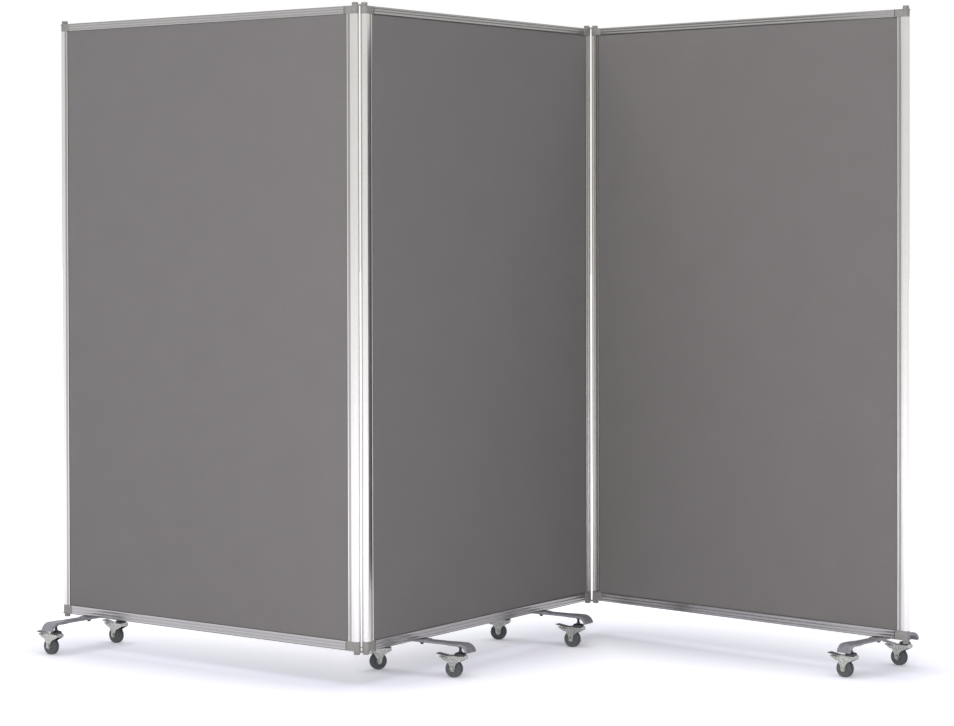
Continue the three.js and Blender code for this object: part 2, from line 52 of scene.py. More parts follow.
panel_width = 1.2
panel_height = 1.812
frame_thickness = 0.022
frame_bottom = 0.102
pivot_span = panel_width - frame_thickness
outer_foot_inset = 0.095
middle_foot_inset = 0.271
foot_places = {
    "left": outer_foot_inset - pivot_span / 2,
    "middle_left": middle_foot_inset - pivot_span / 2,
    "middle_right": pivot_span / 2 - middle_foot_inset,
    "right": pivot_span / 2 - outer_foot_inset,
}
panel_of_foot = {"left": "left", "middle_left": "middle", "middle_right": "middle", "right": "right"}
joints = {joint["name"]: joint for joint in frame["joints"]}


def standing(origin, ahead):
    """The matrix of a piece that stands upright at origin, with its own x axis level along ahead."""
    x_axis = np.array([ahead[0], ahead[1], 0.0]) / math.hypot(ahead[0], ahead[1])
    matrix = np.eye(4)
    matrix[:3, 0] = x_axis
    matrix[:2, 1] = -x_axis[1], x_axis[0]
    matrix[:3, 3] = origin
    return matrix


castor_stands = {}
foot_stands = {}
panel_stands = {}
for foot, place in foot_places.items():
    stems = []
    for end in ("front", "rear"):
        stem = np.array(joints[f"{foot}_{end}_swivel"]["pos_m"][:2])
        axle = np.array(joints[f"{foot}_{end}_spin"]["pos_m"][:2])
        castor_stands[f"{foot}_{end}"] = standing((*stem, 0.0), axle - stem)
        stems.append(stem)
    across = stems[1] - stems[0]
    along = np.array([across[1], -across[0]]) / np.linalg.norm(across)
    centre = (stems[0] + stems[1]) / 2
    foot_stands[foot] = standing((*centre, 0.0), along)
    panel_stands[panel_of_foot[foot]] = standing((*(centre - place * along), frame_bottom), along)

# The boards. Each is a light core with a sheet of grey needled felt glued to either face; the
# felt's edges roll inwards where the frame's channel grips them, which leaves a dark line all round.

post_width = 0.033
bottom_rail_height = 0.027
top_rail_height = 0.022
seat_gap = 0.0003
felt_face = 0.010
felt_edge = 0.007
felt_roll = 0.0035
felt_roll_steps = 6
felt_cells = (28, 42)
felt_grey = (0.150, 0.136, 0.132)
felt_light = (0.228, 0.212, 0.206)
felt_dark = (0.085, 0.077, 0.075)
felt_cloud_scale = 7.0
felt_fleck_scale = 420.0
felt_hair_scale = 900.0
felt_hair_width = 0.06
felt_hair_stretch = 0.35
felt_cloud_share = 0.16
felt_fleck_share = 0.42
felt_hair_share = 0.5
felt_nap = 0.00035


def between(low, high, cells, roll, steps):
    """Grid lines from low to high: close together over the roll at both ends, even between them."""
    ease = 1 - np.cos(np.linspace(0, np.pi / 2, steps + 1))
    middle = np.linspace(low + roll, high - roll, cells + 1)[1:-1]
    return np.concatenate([low + roll * ease, middle, (high - roll * ease)[::-1]])


def grid_faces(rows, columns, closed=False, start=0):
    """Quads of a grid of points, row after row; when closed, each row's last point is joined to its first."""
    r, c = np.meshgrid(np.arange(rows - 1), np.arange(columns if closed else columns - 1), indexing="ij")
    below, above, beside = r * columns, (r + 1) * columns, (c + 1) % columns
    quads = [below + c, below + beside, above + beside, above + c]
    return (start + np.stack(quads, axis=-1).reshape(-1, 4)).tolist()


def two_sheets(rows, columns):
    """Quads of two like grids, the second turned round, and of the band that joins their rims."""
    count = rows * columns
    near = grid_faces(rows, columns)
    far = [face[::-1] for face in grid_faces(rows, columns, start=count)]
    ids = np.arange(count).reshape(rows, columns)
    rim = np.concatenate([ids[0, :-1], ids[:-1, -1], ids[-1, :0:-1], ids[:0:-1, 0]])
    ahead = np.roll(rim, -1)
    return near, far, np.stack([rim, rim + count, ahead + count, ahead], axis=-1).tolist()


def felt_board():
    """The board's surface. On a grid over the face, depth is the face's, less a quarter ellipse over
    the roll, taken on the distance to the nearest edge; the rear is its mirror, and a band joins them."""
    x = between(post_width + seat_gap - panel_width / 2, panel_width / 2 - post_width - seat_gap,
                felt_cells[0], felt_roll, felt_roll_steps)
    z = between(bottom_rail_height + seat_gap, panel_height - top_rail_height - seat_gap,
                felt_cells[1], felt_roll, felt_roll_steps)
    z_grid, x_grid = np.meshgrid(z, x, indexing="ij")
    edge = np.minimum(np.minimum(x_grid - x[0], x[-1] - x_grid), np.minimum(z_grid - z[0], z[-1] - z_grid))
    rolled = 1 - np.clip(edge / felt_roll, 0, 1)
    depth = felt_edge + (felt_face - felt_edge) * np.sqrt(1 - rolled**2)
    front = np.stack([x_grid, -depth, z_grid], axis=-1).reshape(-1, 3)
    rear = front * (1, -1, 1)
    points = np.concatenate([front, rear])
    near, far, band = two_sheets(*x_grid.shape)
    uv = np.concatenate([front[:, [0, 2]], rear[:, [0, 2]] * (-1, 1)])
    return points, near + far + band, uv


crease = math.radians(35)


def piece(name, shape, stand, material, body, replaced=(), bevel=0.0, second=None):
    """A finished piece: points, faces and their map as one smooth mesh with hard edges past the crease
    angle, in its place, riding on its body. A second finish goes on the faces that its mask marks."""
    points, faces, uv = shape
    mesh = bpy.data.meshes.new(name)
    mesh.from_pydata((points @ stand[:3, :3].T + stand[:3, 3]).tolist(), [], faces)
    layer = mesh.uv_layers.new(name="surface")
    corners = np.empty(len(mesh.loops), dtype=np.int32)
    mesh.loops.foreach_get("vertex_index", corners)
    layer.data.foreach_set("uv", np.ascontiguousarray(uv[corners], dtype=np.float32).ravel())
    mesh.materials.append(material)
    if second:
        mesh.materials.append(second[0])
        mesh.polygons.foreach_set("material_index", second[1].astype(np.int32))
    mesh.shade_smooth()
    mesh.set_sharp_from_angle(angle=crease)
    made = bpy.data.objects.new(name, mesh)
    bpy.context.scene.collection.objects.link(made)
    if bevel:
        rounding = made.modifiers.new("rounded edges", "BEVEL")
        rounding.width = bevel
        rounding.segments = 2
        rounding.limit_method = "ANGLE"
        rounding.harden_normals = True
    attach(made, body)
    if replaced:
        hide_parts(*replaced)


def node_group(name, inputs, outputs):
    """An empty shader group with the named inputs, each a kind and a first value, and outputs."""
    group = bpy.data.node_groups.new(name, "ShaderNodeTree")
    for label, (kind, value) in inputs.items():
        socket = group.interface.new_socket(name=label, in_out="INPUT", socket_type=kind)
        if value is not None:
            socket.default_value = value
    for label, kind in outputs.items():
        group.interface.new_socket(name=label, in_out="OUTPUT", socket_type=kind)
    start = group.nodes.new("NodeGroupInput")
    end = group.nodes.new("NodeGroupOutput")
    return group, start, end


def add_node(tree, kind, values=None, **settings):
    """A node with its settings, and with values for some of its inputs: a constant or another output."""
    node = tree.nodes.new(kind)
    for key, value in settings.items():
        setattr(node, key, value)
    for key, value in (values or {}).items():
        if isinstance(value, bpy.types.NodeSocket):
            tree.links.new(value, node.inputs[key])
        else:
            node.inputs[key].default_value = value
    return node


def ranged(tree, value, low, high, from_low=0.0, from_high=1.0):
    """A value carried from one range into another."""
    node = add_node(tree, "ShaderNodeMapRange", {
        "Value": value, "From Min": from_low, "From Max": from_high, "To Min": low, "To Max": high})
    return node.outputs["Result"]


noise_range = (0.3, 0.7)

# Uneven tone: noise of one size, spread evenly about a half. All finishes use it.
mottle, mottle_in, mottle_out = node_group(
    "mottle",
    {"Vector": ("NodeSocketVector", None), "Scale": ("NodeSocketFloat", 100.0),
     "Detail": ("NodeSocketFloat", 3.0), "Twist": ("NodeSocketFloat", 0.0)},
    {"Tone": "NodeSocketFloat"},
)
mottle_noise = add_node(mottle, "ShaderNodeTexNoise", {
    "Vector": mottle_in.outputs["Vector"], "Scale": mottle_in.outputs["Scale"],
    "Detail": mottle_in.outputs["Detail"], "Distortion": mottle_in.outputs["Twist"]})
mottle_tone = ranged(mottle, mottle_noise.outputs["Fac"], 0.0, 1.0, *noise_range)
mottle.links.new(mottle_tone, mottle_out.inputs["Tone"])


def toned(tree, vector, scale, detail, twist=0.0):
    """The tone of the mottle group at one scale, in blotches per metre."""
    values = {"Vector": vector, "Scale": scale, "Detail": detail, "Twist": twist}
    return add_node(tree, "ShaderNodeGroup", values, node_tree=mottle).outputs["Tone"]


def mixed(tree, factor, first, second):
    """A blend of two colours by a factor; either colour may be a socket or a constant."""
    colours = [(*colour, 1.0) if isinstance(colour, tuple) else colour for colour in (first, second)]
    values = {"Factor": factor, 6: colours[0], 7: colours[1]}
    return add_node(tree, "ShaderNodeMix", values, data_type="RGBA").outputs[2]


def math_of(tree, operation, first, second=0.0):
    """One arithmetic step on one or two values."""
    return add_node(tree, "ShaderNodeMath", {0: first, 1: second}, operation=operation).outputs[0]


def finish(name, **constants):
    """A new material with its principled shader; constants are set on the shader's own sockets."""
    material = bpy.data.materials.new(name)
    material.use_nodes = True
    tree = material.node_tree
    shader = tree.nodes["Principled BSDF"]
    for key, value in constants.items():
        shader.inputs[key.replace("_", " ")].default_value = value
    return material, tree, shader


def textured(tree, shader, height, distance):
    """A bump of some height in metres on the shader's normal."""
    bump = add_node(tree, "ShaderNodeBump", {"Height": height, "Distance": distance})
    tree.links.new(bump.outputs["Normal"], shader.inputs["Normal"])


felt, felt_tree, felt_shader = finish(
    "grey needled felt", Roughness=0.95, Sheen_Weight=0.25, Sheen_Roughness=0.6, Specular_IOR_Level=0.2)
felt_map = add_node(felt_tree, "ShaderNodeUVMap", uv_map="surface").outputs["UV"]
felt_clouds = toned(felt_tree, felt_map, felt_cloud_scale, 4.0)
felt_flecks = toned(felt_tree, felt_map, felt_fleck_scale, 5.0, 1.2)
felt_stretch = add_node(felt_tree, "ShaderNodeMapping", {
    "Vector": felt_map, "Scale": (felt_hair_stretch, 1.0, 1.0)})
felt_hairs = add_node(felt_tree, "ShaderNodeTexNoise", {
    "Vector": felt_stretch.outputs["Vector"], "Scale": felt_hair_scale, "Detail": 6.0, "Distortion": 2.5})
hair_slope = math_of(felt_tree, "SUBTRACT", felt_hairs.outputs["Fac"], 0.5)
hair_line = ranged(felt_tree, math_of(felt_tree, "ABSOLUTE", hair_slope), 1.0, 0.0, 0.0, felt_hair_width)
felt_base = mixed(felt_tree, ranged(felt_tree, felt_clouds, 0.0, felt_cloud_share), felt_grey, felt_light)
felt_flecked = mixed(felt_tree, ranged(felt_tree, felt_flecks, 0.0, felt_fleck_share), felt_base, felt_dark)
felt_haired = mixed(felt_tree, ranged(felt_tree, hair_line, 0.0, felt_hair_share), felt_flecked, felt_light)
felt_tree.links.new(felt_haired, felt_shader.inputs["Base Color"])
textured(felt_tree, felt_shader, math_of(felt_tree, "ADD", felt_flecks, hair_line), felt_nap)

for panel, stand in panel_stands.items():
    piece(f"{panel}_felt_board", felt_board(), stand, felt, f"{panel}_panel", [f"{panel}_board"])

# The posts. Each is an aluminium extrusion with a half-round nose, a shallow groove beside a
# narrow lip in both faces, and a channel that grips the board; it is sawn off square and anodised.
# The groove floors get a darker metal, which is painted shade in the grooves.

nose_radius = frame_thickness / 2
post_back = post_width - nose_radius
channel_half = 0.0073
channel_depth = 0.006
post_lip = 0.003
post_groove_width = 0.009
post_groove_depth = 0.001
extrusion_edge = 0.00035
lip_edge = 0.0006
nose_ease = 0.0001
nose_fillet = nose_radius * 0.999
outline_steps = 8
edge_steps = 3
same_point = 1e-7
tiny = 1e-9


def without_repeats(outline):
    """The outline less each point that lies on the one before it."""
    apart = np.linalg.norm(outline - np.roll(outline, 1, axis=0), axis=1) > same_point
    return outline[apart]


def filleted(corners, radii, steps=outline_steps):
    """A closed outline with its corners rounded. Each becomes a circular arc about the point one radius
    from both of its sides, swept from one tangent point to the other; a straight corner stays."""
    corners = np.asarray(corners, dtype=float)
    radii = np.broadcast_to(np.asarray(radii, dtype=float), len(corners))[:, None]
    back = np.roll(corners, 1, axis=0) - corners
    ahead = np.roll(corners, -1, axis=0) - corners
    back /= np.linalg.norm(back, axis=1, keepdims=True)
    ahead /= np.linalg.norm(ahead, axis=1, keepdims=True)
    half = np.arccos(np.clip((back * ahead).sum(axis=1, keepdims=True), -1, 1)) / 2
    bisector = (back + ahead) / np.maximum(np.linalg.norm(back + ahead, axis=1, keepdims=True), tiny)
    centre = corners + bisector * radii / np.sin(half)
    start = corners + back * radii / np.tan(half) - centre
    end = corners + ahead * radii / np.tan(half) - centre
    sweep = (np.pi - 2 * half)[:, None]
    share = np.linspace(0, 1, steps + 1)[None, :, None]
    arcs = np.sin((1 - share) * sweep) * start[:, None] + np.sin(share * sweep) * end[:, None]
    return without_repeats((centre[:, None] + arcs / np.maximum(np.sin(sweep), tiny)).reshape(-1, 2))


def inset(outline, distance):
    """The outline moved inwards: each point goes along the mitre of its two sides' inward normals."""
    ahead = np.roll(outline, -1, axis=0) - outline
    ahead /= np.linalg.norm(ahead, axis=1, keepdims=True)
    normal = np.stack([-ahead[:, 1], ahead[:, 0]], axis=-1)
    before = np.roll(normal, 1, axis=0)
    mitre = (normal + before) / (1 + (normal * before).sum(axis=1, keepdims=True))
    return outline + distance * mitre


def travelled(line):
    """How far along a line each of its points lies."""
    return np.concatenate([[0], np.cumsum(np.linalg.norm(np.diff(line, axis=0), axis=1))])


def capped(rings, levels=None):
    """Points and quads of closed rings, one over the other, with a flat cap on the first and the last.
    Rings of two coordinates get their heights from levels."""
    rows, count = rings.shape[:2]
    if levels is not None:
        heights = np.broadcast_to(levels[:, None, None], (rows, count, 1))
        rings = np.concatenate([rings, heights], axis=-1)
    faces = grid_faces(rows, count, closed=True)
    faces.append(np.arange(count)[::-1].tolist())
    faces.append((np.arange(count) + (rows - 1) * count).tolist())
    return rings.reshape(-1, 3), faces


def prism(outline, low, high, edge=0.0):
    """A solid over an anticlockwise outline. Its walls stand on the outline, and at both ends they turn
    in through a quarter circle of radius edge to a flat cap. The map unrolls the walls."""
    angle = np.linspace(np.pi / 2, 0, edge_steps + 1) if edge else np.zeros(1)
    rise, draw = edge * (1 - np.sin(angle)), edge * (1 - np.cos(angle))
    heights = np.concatenate([low + rise, (high - rise)[::-1]])
    insets = np.concatenate([draw, draw[::-1]])
    points, faces = capped(np.stack([inset(outline, distance) for distance in insets]), heights)
    uv = np.stack([np.tile(travelled(outline), len(heights)), np.repeat(heights, len(outline))], axis=-1)
    return points, faces, uv


def post_outline():
    """The post in plan, from inside its channel round the nose, with the knob's axis at zero."""
    groove = post_lip - post_back
    floor = nose_radius - post_groove_depth
    lower = [
        (channel_depth - post_back, -channel_half),
        (-post_back, -channel_half),
        (-post_back, -nose_radius),
        (groove, -nose_radius),
        (groove, -floor),
        (groove + post_groove_width, -floor),
        (groove + post_groove_width, -nose_radius),
        (nose_radius - nose_ease, -nose_radius),
    ]
    fine = extrusion_edge
    radii = [fine, fine, lip_edge, fine, fine, fine, fine, nose_fillet]
    upper = [(x, -y) for x, y in lower[::-1]]
    return filleted(lower + upper, radii + radii[::-1])


# Drawn metal: long fine streaks that follow the piece's map.
streaks, streaks_in, streaks_out = node_group(
    "drawn streaks",
    {"Vector": ("NodeSocketVector", None), "Across": ("NodeSocketFloat", 1400.0),
     "Along": ("NodeSocketFloat", 4.0)},
    {"Tone": "NodeSocketFloat"},
)
streak_scale = add_node(streaks, "ShaderNodeCombineXYZ", {
    "X": streaks_in.outputs["Across"], "Y": streaks_in.outputs["Along"], "Z": 1.0})
streak_vector = add_node(streaks, "ShaderNodeVectorMath", {
    0: streaks_in.outputs["Vector"], 1: streak_scale.outputs["Vector"]}, operation="MULTIPLY")
streak_noise = add_node(streaks, "ShaderNodeTexNoise", {
    "Vector": streak_vector.outputs["Vector"], "Scale": 1.0, "Detail": 3.0})
streak_tone = ranged(streaks, streak_noise.outputs["Fac"], 0.0, 1.0, *noise_range)
streaks.links.new(streak_tone, streaks_out.inputs["Tone"])
streak_share = 0.6
streak_depth = 0.00001
hand_mark_scale = 9.0
hand_mark_dulling = 0.05


def extruded_metal(name, colour, pale, roughness):
    """Anodised aluminium in two tones, with the streaks of the die along it and a hand's marks on it."""
    material, tree, shader = finish(name, Metallic=1.0)
    surface = add_node(tree, "ShaderNodeUVMap", uv_map="surface").outputs["UV"]
    drawn = add_node(tree, "ShaderNodeGroup", {"Vector": surface}, node_tree=streaks).outputs["Tone"]
    marks = ranged(tree, toned(tree, surface, hand_mark_scale, 4.0), 0.0, hand_mark_dulling)
    colours = mixed(tree, ranged(tree, drawn, 0.0, streak_share), colour, pale)
    tree.links.new(colours, shader.inputs["Base Color"])
    dulled = math_of(tree, "ADD", ranged(tree, drawn, *roughness), marks)
    tree.links.new(dulled, shader.inputs["Roughness"])
    textured(tree, shader, drawn, streak_depth)
    return material


aluminium = extruded_metal("satin anodised aluminium", colour=(0.61, 0.596, 0.575),
                           pale=(0.72, 0.705, 0.683), roughness=(0.14, 0.22))
# A darker metal for the floors of the posts' grooves: painted shade in the recess.
groove_painted_shade = extruded_metal("aluminium with painted groove shade", colour=(0.30, 0.292, 0.282),
                                pale=(0.38, 0.37, 0.358), roughness=(0.16, 0.24))


def face_centres(shape):
    """The mean of each face's corners."""
    points, faces, _ = shape
    lengths = np.array([len(face) for face in faces])
    starts = np.concatenate([[0], np.cumsum(lengths)[:-1]])
    return np.add.reduceat(points[np.concatenate(faces)], starts, axis=0) / lengths[:, None]


def moved(shape, turn=0.0, x=0.0, y=0.0, z=0.0, tipped=False):
    """A shape turned about z by an angle in degrees, tipped over about x first if asked, then moved."""
    points, faces, uv = shape
    if tipped:
        points = points * (1, -1, -1)
    cosine, sine = math.cos(math.radians(turn)), math.sin(math.radians(turn))
    rotation = np.array([[cosine, -sine, 0], [sine, cosine, 0], [0, 0, 1]])
    return points @ rotation.T + (x, y, z), faces, uv


ends = {"left": (180, -pivot_span / 2), "right": (0, pivot_span / 2)}
post = prism(post_outline(), bottom_rail_height + seat_gap, panel_height - top_rail_height - seat_gap)
post_centres = face_centres(post)
groove_middle = post_lip - post_back + post_groove_width / 2
# The faces of the groove floors, which take the painted groove shade.
in_groove = (np.abs(post_centres[:, 0] - groove_middle) < post_groove_width / 2 - extrusion_edge)
in_groove &= np.abs(np.abs(post_centres[:, 1]) - nose_radius + post_groove_depth) < extrusion_edge / 2
for panel, stand in panel_stands.items():
    for end, (turn, x) in ends.items():
        name = f"{panel}_{end}_post"
        piece(f"{name}_extrusion", moved(post, turn, x), stand, aluminium, f"{panel}_panel", [name],
              second=(groove_painted_shade, in_groove))

# The rails. The same metal in a lower section, chamfered outside, with two fine grooves in each
# face; the bottom ones are drilled for the feet. The outer chamfers get a dark metal, which is
# painted shade.

corner_lap = 0.010
rail_chamfer = 0.002
rail_grooves = 2
rail_groove_height = 0.0026
rail_groove_depth = 0.0004
rail_aluminium = extruded_metal("satin rail aluminium", colour=(0.36, 0.349, 0.345),
                                pale=(0.45, 0.438, 0.432), roughness=(0.14, 0.22))
# A dark metal for the rails' outer chamfers: painted shade.
painted_rail_shade = extruded_metal("painted shade on rail chamfers", colour=(0.13, 0.126, 0.125),
                           pale=(0.18, 0.175, 0.17), roughness=(0.3, 0.4))


def rail_outline(rail_height):
    """The rail's section as depth and height above its outer face, from inside the channel round."""
    floor = nose_radius - rail_groove_depth
    side = [(nose_radius - rail_chamfer, 0.0), (nose_radius, rail_chamfer)]
    radii = [extrusion_edge * 2, extrusion_edge * 2]
    for groove in range(rail_grooves):
        middle = rail_height * (groove + 1) / (rail_grooves + 1)
        low, high = middle - rail_groove_height / 2, middle + rail_groove_height / 2
        side += [(nose_radius, low), (floor, low), (floor, high), (nose_radius, high)]
        radii += [extrusion_edge] * 4
    side += [(nose_radius, rail_height), (channel_half, rail_height),
             (channel_half, rail_height - channel_depth)]
    radii += [lip_edge, extrusion_edge, extrusion_edge]
    return filleted(side + [(-depth, height) for depth, height in side[::-1]], radii + radii[::-1], 4)


def laid_along_x(shape):
    """A shape that rose along z, laid so that it runs along x, its outline in depth and height."""
    points, faces, uv = shape
    return points[:, [2, 0, 1]], faces, uv


rail_half = panel_width / 2 - post_width - corner_lap - seat_gap
bottom_rail, top_rail = (laid_along_x(prism(rail_outline(height), -rail_half, rail_half))
                         for height in (bottom_rail_height, top_rail_height))


def rail_shadows(rail):
    """A mask of the rail's outer chamfers, which take painted shade."""
    depth, height = np.abs(face_centres(rail)[:, 1]), face_centres(rail)[:, 2]
    return (height < rail_chamfer) & (depth > nose_radius - rail_chamfer)


for panel, stand in panel_stands.items():
    piece(f"{panel}_bottom_rail_extrusion", bottom_rail, stand, rail_aluminium, f"{panel}_panel",
          [f"{panel}_bottom_rail"], second=(painted_rail_shade, rail_shadows(bottom_rail)))
    piece(f"{panel}_top_rail_extrusion", moved(top_rail, z=panel_height, tipped=True), stand, rail_aluminium,
          f"{panel}_panel", [f"{panel}_top_rail"], second=(painted_rail_shade, rail_shadows(top_rail)))

# The corner fittings. Each is a moulding that closes the end of a post and laps the rail, with a
# knob on the post's axis: on a neck where a link plate hangs, or on a collar at a free end.

corner_chamfer = 0.002
corner_edge = 0.0008
knob_radius = 0.009
knob_height = 0.010
knob_chamfer = 0.0015
knob_dish = 0.0008
knob_edge = 0.0003
dish_floor_share = 0.45
dish_rim_share = 0.6
neck_radius = 0.005
collar_radius = 0.0130
collar_height = 0.004
link_thickness = 0.004
running_gap = 0.0003
turned_steps = 48


def turned(profile, steps=turned_steps):
    """A solid of revolution about z: each point of the profile, as radius and height, becomes a ring.
    The profile runs from the bottom to the top; where it doesn't end on the axis, a cap closes it."""
    profile = np.asarray(profile, dtype=float)
    angle = np.linspace(0, 2 * np.pi, steps, endpoint=False)
    radius, height = profile[:, 0, None], profile[:, 1]
    points, faces = capped(np.stack([radius * np.cos(angle), radius * np.sin(angle)], axis=-1), height)
    girth = angle * profile[:, 0].max()
    uv = np.stack([np.tile(girth, len(profile)), np.repeat(travelled(profile), steps)], axis=-1)
    return points, faces, uv


def together(*shapes):
    """Several shapes as one."""
    starts = np.cumsum([0] + [len(points) for points, _, _ in shapes])
    faces = [[start + corner for corner in face] for (_, faces_of, _), start in zip(shapes, starts)
             for face in faces_of]
    return (np.concatenate([points for points, _, _ in shapes]), faces,
            np.concatenate([uv for _, _, uv in shapes]))


def softened(profile, radius, steps=3):
    """An open profile with its inner corners rounded, for turning."""
    corners = np.asarray(profile, dtype=float)
    closed = np.concatenate([corners, [(-1.0, corners[-1][1]), (-1.0, corners[0][1])]])
    rounded = filleted(closed, [0.0] + [radius] * (len(corners) - 2) + [0.0] * 3, steps)
    return rounded[rounded[:, 0] > -0.5]


def knob(neck):
    """The knob below a bottom corner: neck, underside, chamfered rim and a shallow dish in its end."""
    end = -knob_height
    head = softened([
        (knob_radius * dish_floor_share, end + knob_dish), (knob_radius * dish_rim_share, end),
        (knob_radius - knob_chamfer, end), (knob_radius, end + knob_chamfer), (knob_radius, -neck),
        (neck_radius, -neck), (neck_radius, corner_edge)], knob_edge)
    return turned(head)


def corner_outline():
    """The fitting in plan: half-round at the knob's axis, chamfered where it laps the rail."""
    back = post_back + corner_lap
    inner = nose_radius - corner_chamfer
    corners = [(-back, inner), (-back, -inner), (corner_chamfer - back, -nose_radius),
               (nose_radius - nose_ease, -nose_radius), (nose_radius - nose_ease, nose_radius),
               (corner_chamfer - back, nose_radius)]
    small = corner_edge / 2
    return filleted(corners, [small, small, small, nose_fillet, nose_fillet, small])


def hinge_corner(height):
    """A fitting as high as its rail, with its knob on a neck."""
    return together(prism(corner_outline(), 0, height, corner_edge), knob(link_thickness + 2 * running_gap))


def free_corner(height):
    """A fitting as high as its rail, with its knob on a collar."""
    edge = corner_edge
    collar = turned(softened([
        (neck_radius, 0.0), (collar_radius - edge, 0.0), (collar_radius, edge),
        (collar_radius, collar_height - edge), (collar_radius - edge, collar_height),
        (neck_radius, collar_height)], edge / 2))
    return together(prism(corner_outline(), 0, height, edge), collar, knob(0.0))


# Dust that has settled near the floor: a mask by height, broken up by mottle.
dust, dust_in, dust_out = node_group(
    "floor dust",
    {"Position": ("NodeSocketVector", None), "Reach": ("NodeSocketFloat", 0.09)},
    {"Mask": "NodeSocketFloat"},
)
dust_tint = (0.42, 0.40, 0.37)
dust_scale = 220.0
dust_height = add_node(dust, "ShaderNodeSeparateXYZ", {"Vector": dust_in.outputs["Position"]}).outputs["Z"]
dust_fade = ranged(dust, dust_height, 1.0, 0.0, 0.0, dust_in.outputs["Reach"])
dust_cloud = toned(dust, dust_in.outputs["Position"], dust_scale, 4.0, 0.6)
dust.links.new(math_of(dust, "MULTIPLY", dust_fade, dust_cloud), dust_out.inputs["Mask"])


def clouded(name, first, second, cloud, roughness, grain, bump, share=0.9, dusting=0.0, **constants):
    """A finish that clouds from one colour to another, up to a share, and in roughness with it. Cloud and
    grain are a scale, a detail and a twist; the finer grain is a bump, and floor dust may lie over all."""
    material, tree, shader = finish(name, **constants)
    place = add_node(tree, "ShaderNodeTexCoord").outputs["Object"]
    tone = toned(tree, place, *cloud)
    colour = mixed(tree, ranged(tree, tone, 0.0, share), first, second)
    if dusting:
        settled = add_node(tree, "ShaderNodeGroup", {"Position": place}, node_tree=dust).outputs["Mask"]
        colour = mixed(tree, ranged(tree, settled, 0.0, dusting), colour, dust_tint)
    tree.links.new(colour, shader.inputs["Base Color"])
    tree.links.new(ranged(tree, tone, *roughness), shader.inputs["Roughness"])
    textured(tree, shader, toned(tree, place, *grain), bump)
    return material


fitting_grey = (0.262, 0.252, 0.236)
fitting_shade = (0.172, 0.164, 0.154)
fitting = clouded("warm grey moulding", fitting_grey, fitting_shade, cloud=(240.0, 3.0),
                  roughness=(0.36, 0.5), grain=(2600.0, 2.0), bump=0.00004, Specular_IOR_Level=0.45)

free_ends = {("left", "left"), ("right", "right")}
for panel, stand in panel_stands.items():
    for end, (turn, x) in ends.items():
        corner = free_corner if (panel, end) in free_ends else hinge_corner
        bottom, top = f"{panel}_{end}_bottom_corner", f"{panel}_{end}_top_corner"
        upright = moved(corner(bottom_rail_height), turn, x)
        piece(f"{bottom}_fitting", upright, stand, fitting, f"{panel}_panel", [bottom])
        tipped = moved(moved(corner(top_rail_height), tipped=True), turn, x, z=panel_height)
        piece(f"{top}_fitting", tipped, stand, fitting, f"{panel}_panel", [top])

# The link plates. Small figure-of-eight plates on the knobs' necks, two to a hinge, so that each
# outer panel folds flat to either side.

post_gap = 0.004
link_pitch = frame_thickness + post_gap
link_waist = 0.0011
link_edge = 0.0006
link_steps = 32


def link_outline():
    """Round ends about both knobs, and sides that dip to a waist by a raised cosine between them."""
    turn = np.linspace(np.pi / 2, 3 * np.pi / 2, link_steps)
    end = np.stack([np.cos(turn), np.sin(turn)], axis=-1) * knob_radius
    x = np.linspace(0, link_pitch, link_steps)[1:-1]
    dip = knob_radius - link_waist * (1 - np.cos(2 * np.pi * x / link_pitch)) / 2
    lower = np.stack([x, -dip], axis=-1)
    return np.concatenate([end, lower, (link_pitch, 0) - end, lower[::-1] * (1, -1)])


for side in ("left", "right"):
    middle_knob = np.array(joints[f"{side}_link_hinge"]["pos_m"])
    outer_knob = np.array(joints[f"{side}_panel_hinge"]["pos_m"])
    stand = standing((*middle_knob[:2], 0.0), outer_knob - middle_knob)
    heights = {"bottom": frame_bottom - running_gap - link_thickness,
               "top": frame_bottom + panel_height + running_gap}
    for level, low in heights.items():
        plate = prism(link_outline(), low, low + link_thickness, link_edge)
        piece(f"{side}_{level}_link_plate", plate, stand, fitting, f"{side}_link",
              [f"{side}_{level}_link"])

# The feet. A flat steel bar across each panel, flared and hooked down at both ends and coated
# silver-grey. A saddle and one bolt hold it to the rail, and a stem is nutted in at each end.

foot_reach = 0.175
foot_width = 0.032
foot_end_width = 0.046
bar_thickness = 0.0075
bar_top = 0.100
flare_shares = (0.5, 0.68)
hook_radius = 0.030
hook_sweep = 78.15
bar_edge = 0.0016
tip_steps = 5
hook_steps = 20
level_steps = 14
saddle_length = 0.064
saddle_top_length = 0.056
saddle_edge = 0.004
saddle_inset = 0.0004
saddle_levels = 9
castor_inset = 0.040
castor_offset = foot_reach - castor_inset


def smoothed(value):
    """From nought to one with level ends."""
    value = np.clip(value, 0, 1)
    return value * value * (3 - 2 * value)


def left_of(line):
    """At each point of a line, the unit direction square to it and on its left."""
    tangent = np.gradient(line, axis=0)
    tangent /= np.linalg.norm(tangent, axis=1, keepdims=True)
    return np.stack([-tangent[:, 1], tangent[:, 0]], axis=-1)


def rounded_rectangle(half_x, half_y, radius, steps):
    """A rectangle's outline about zero, with its corners rounded."""
    corners = [(-half_x, -half_y), (half_x, -half_y), (half_x, half_y), (-half_x, half_y)]
    return filleted(corners, radius, steps)


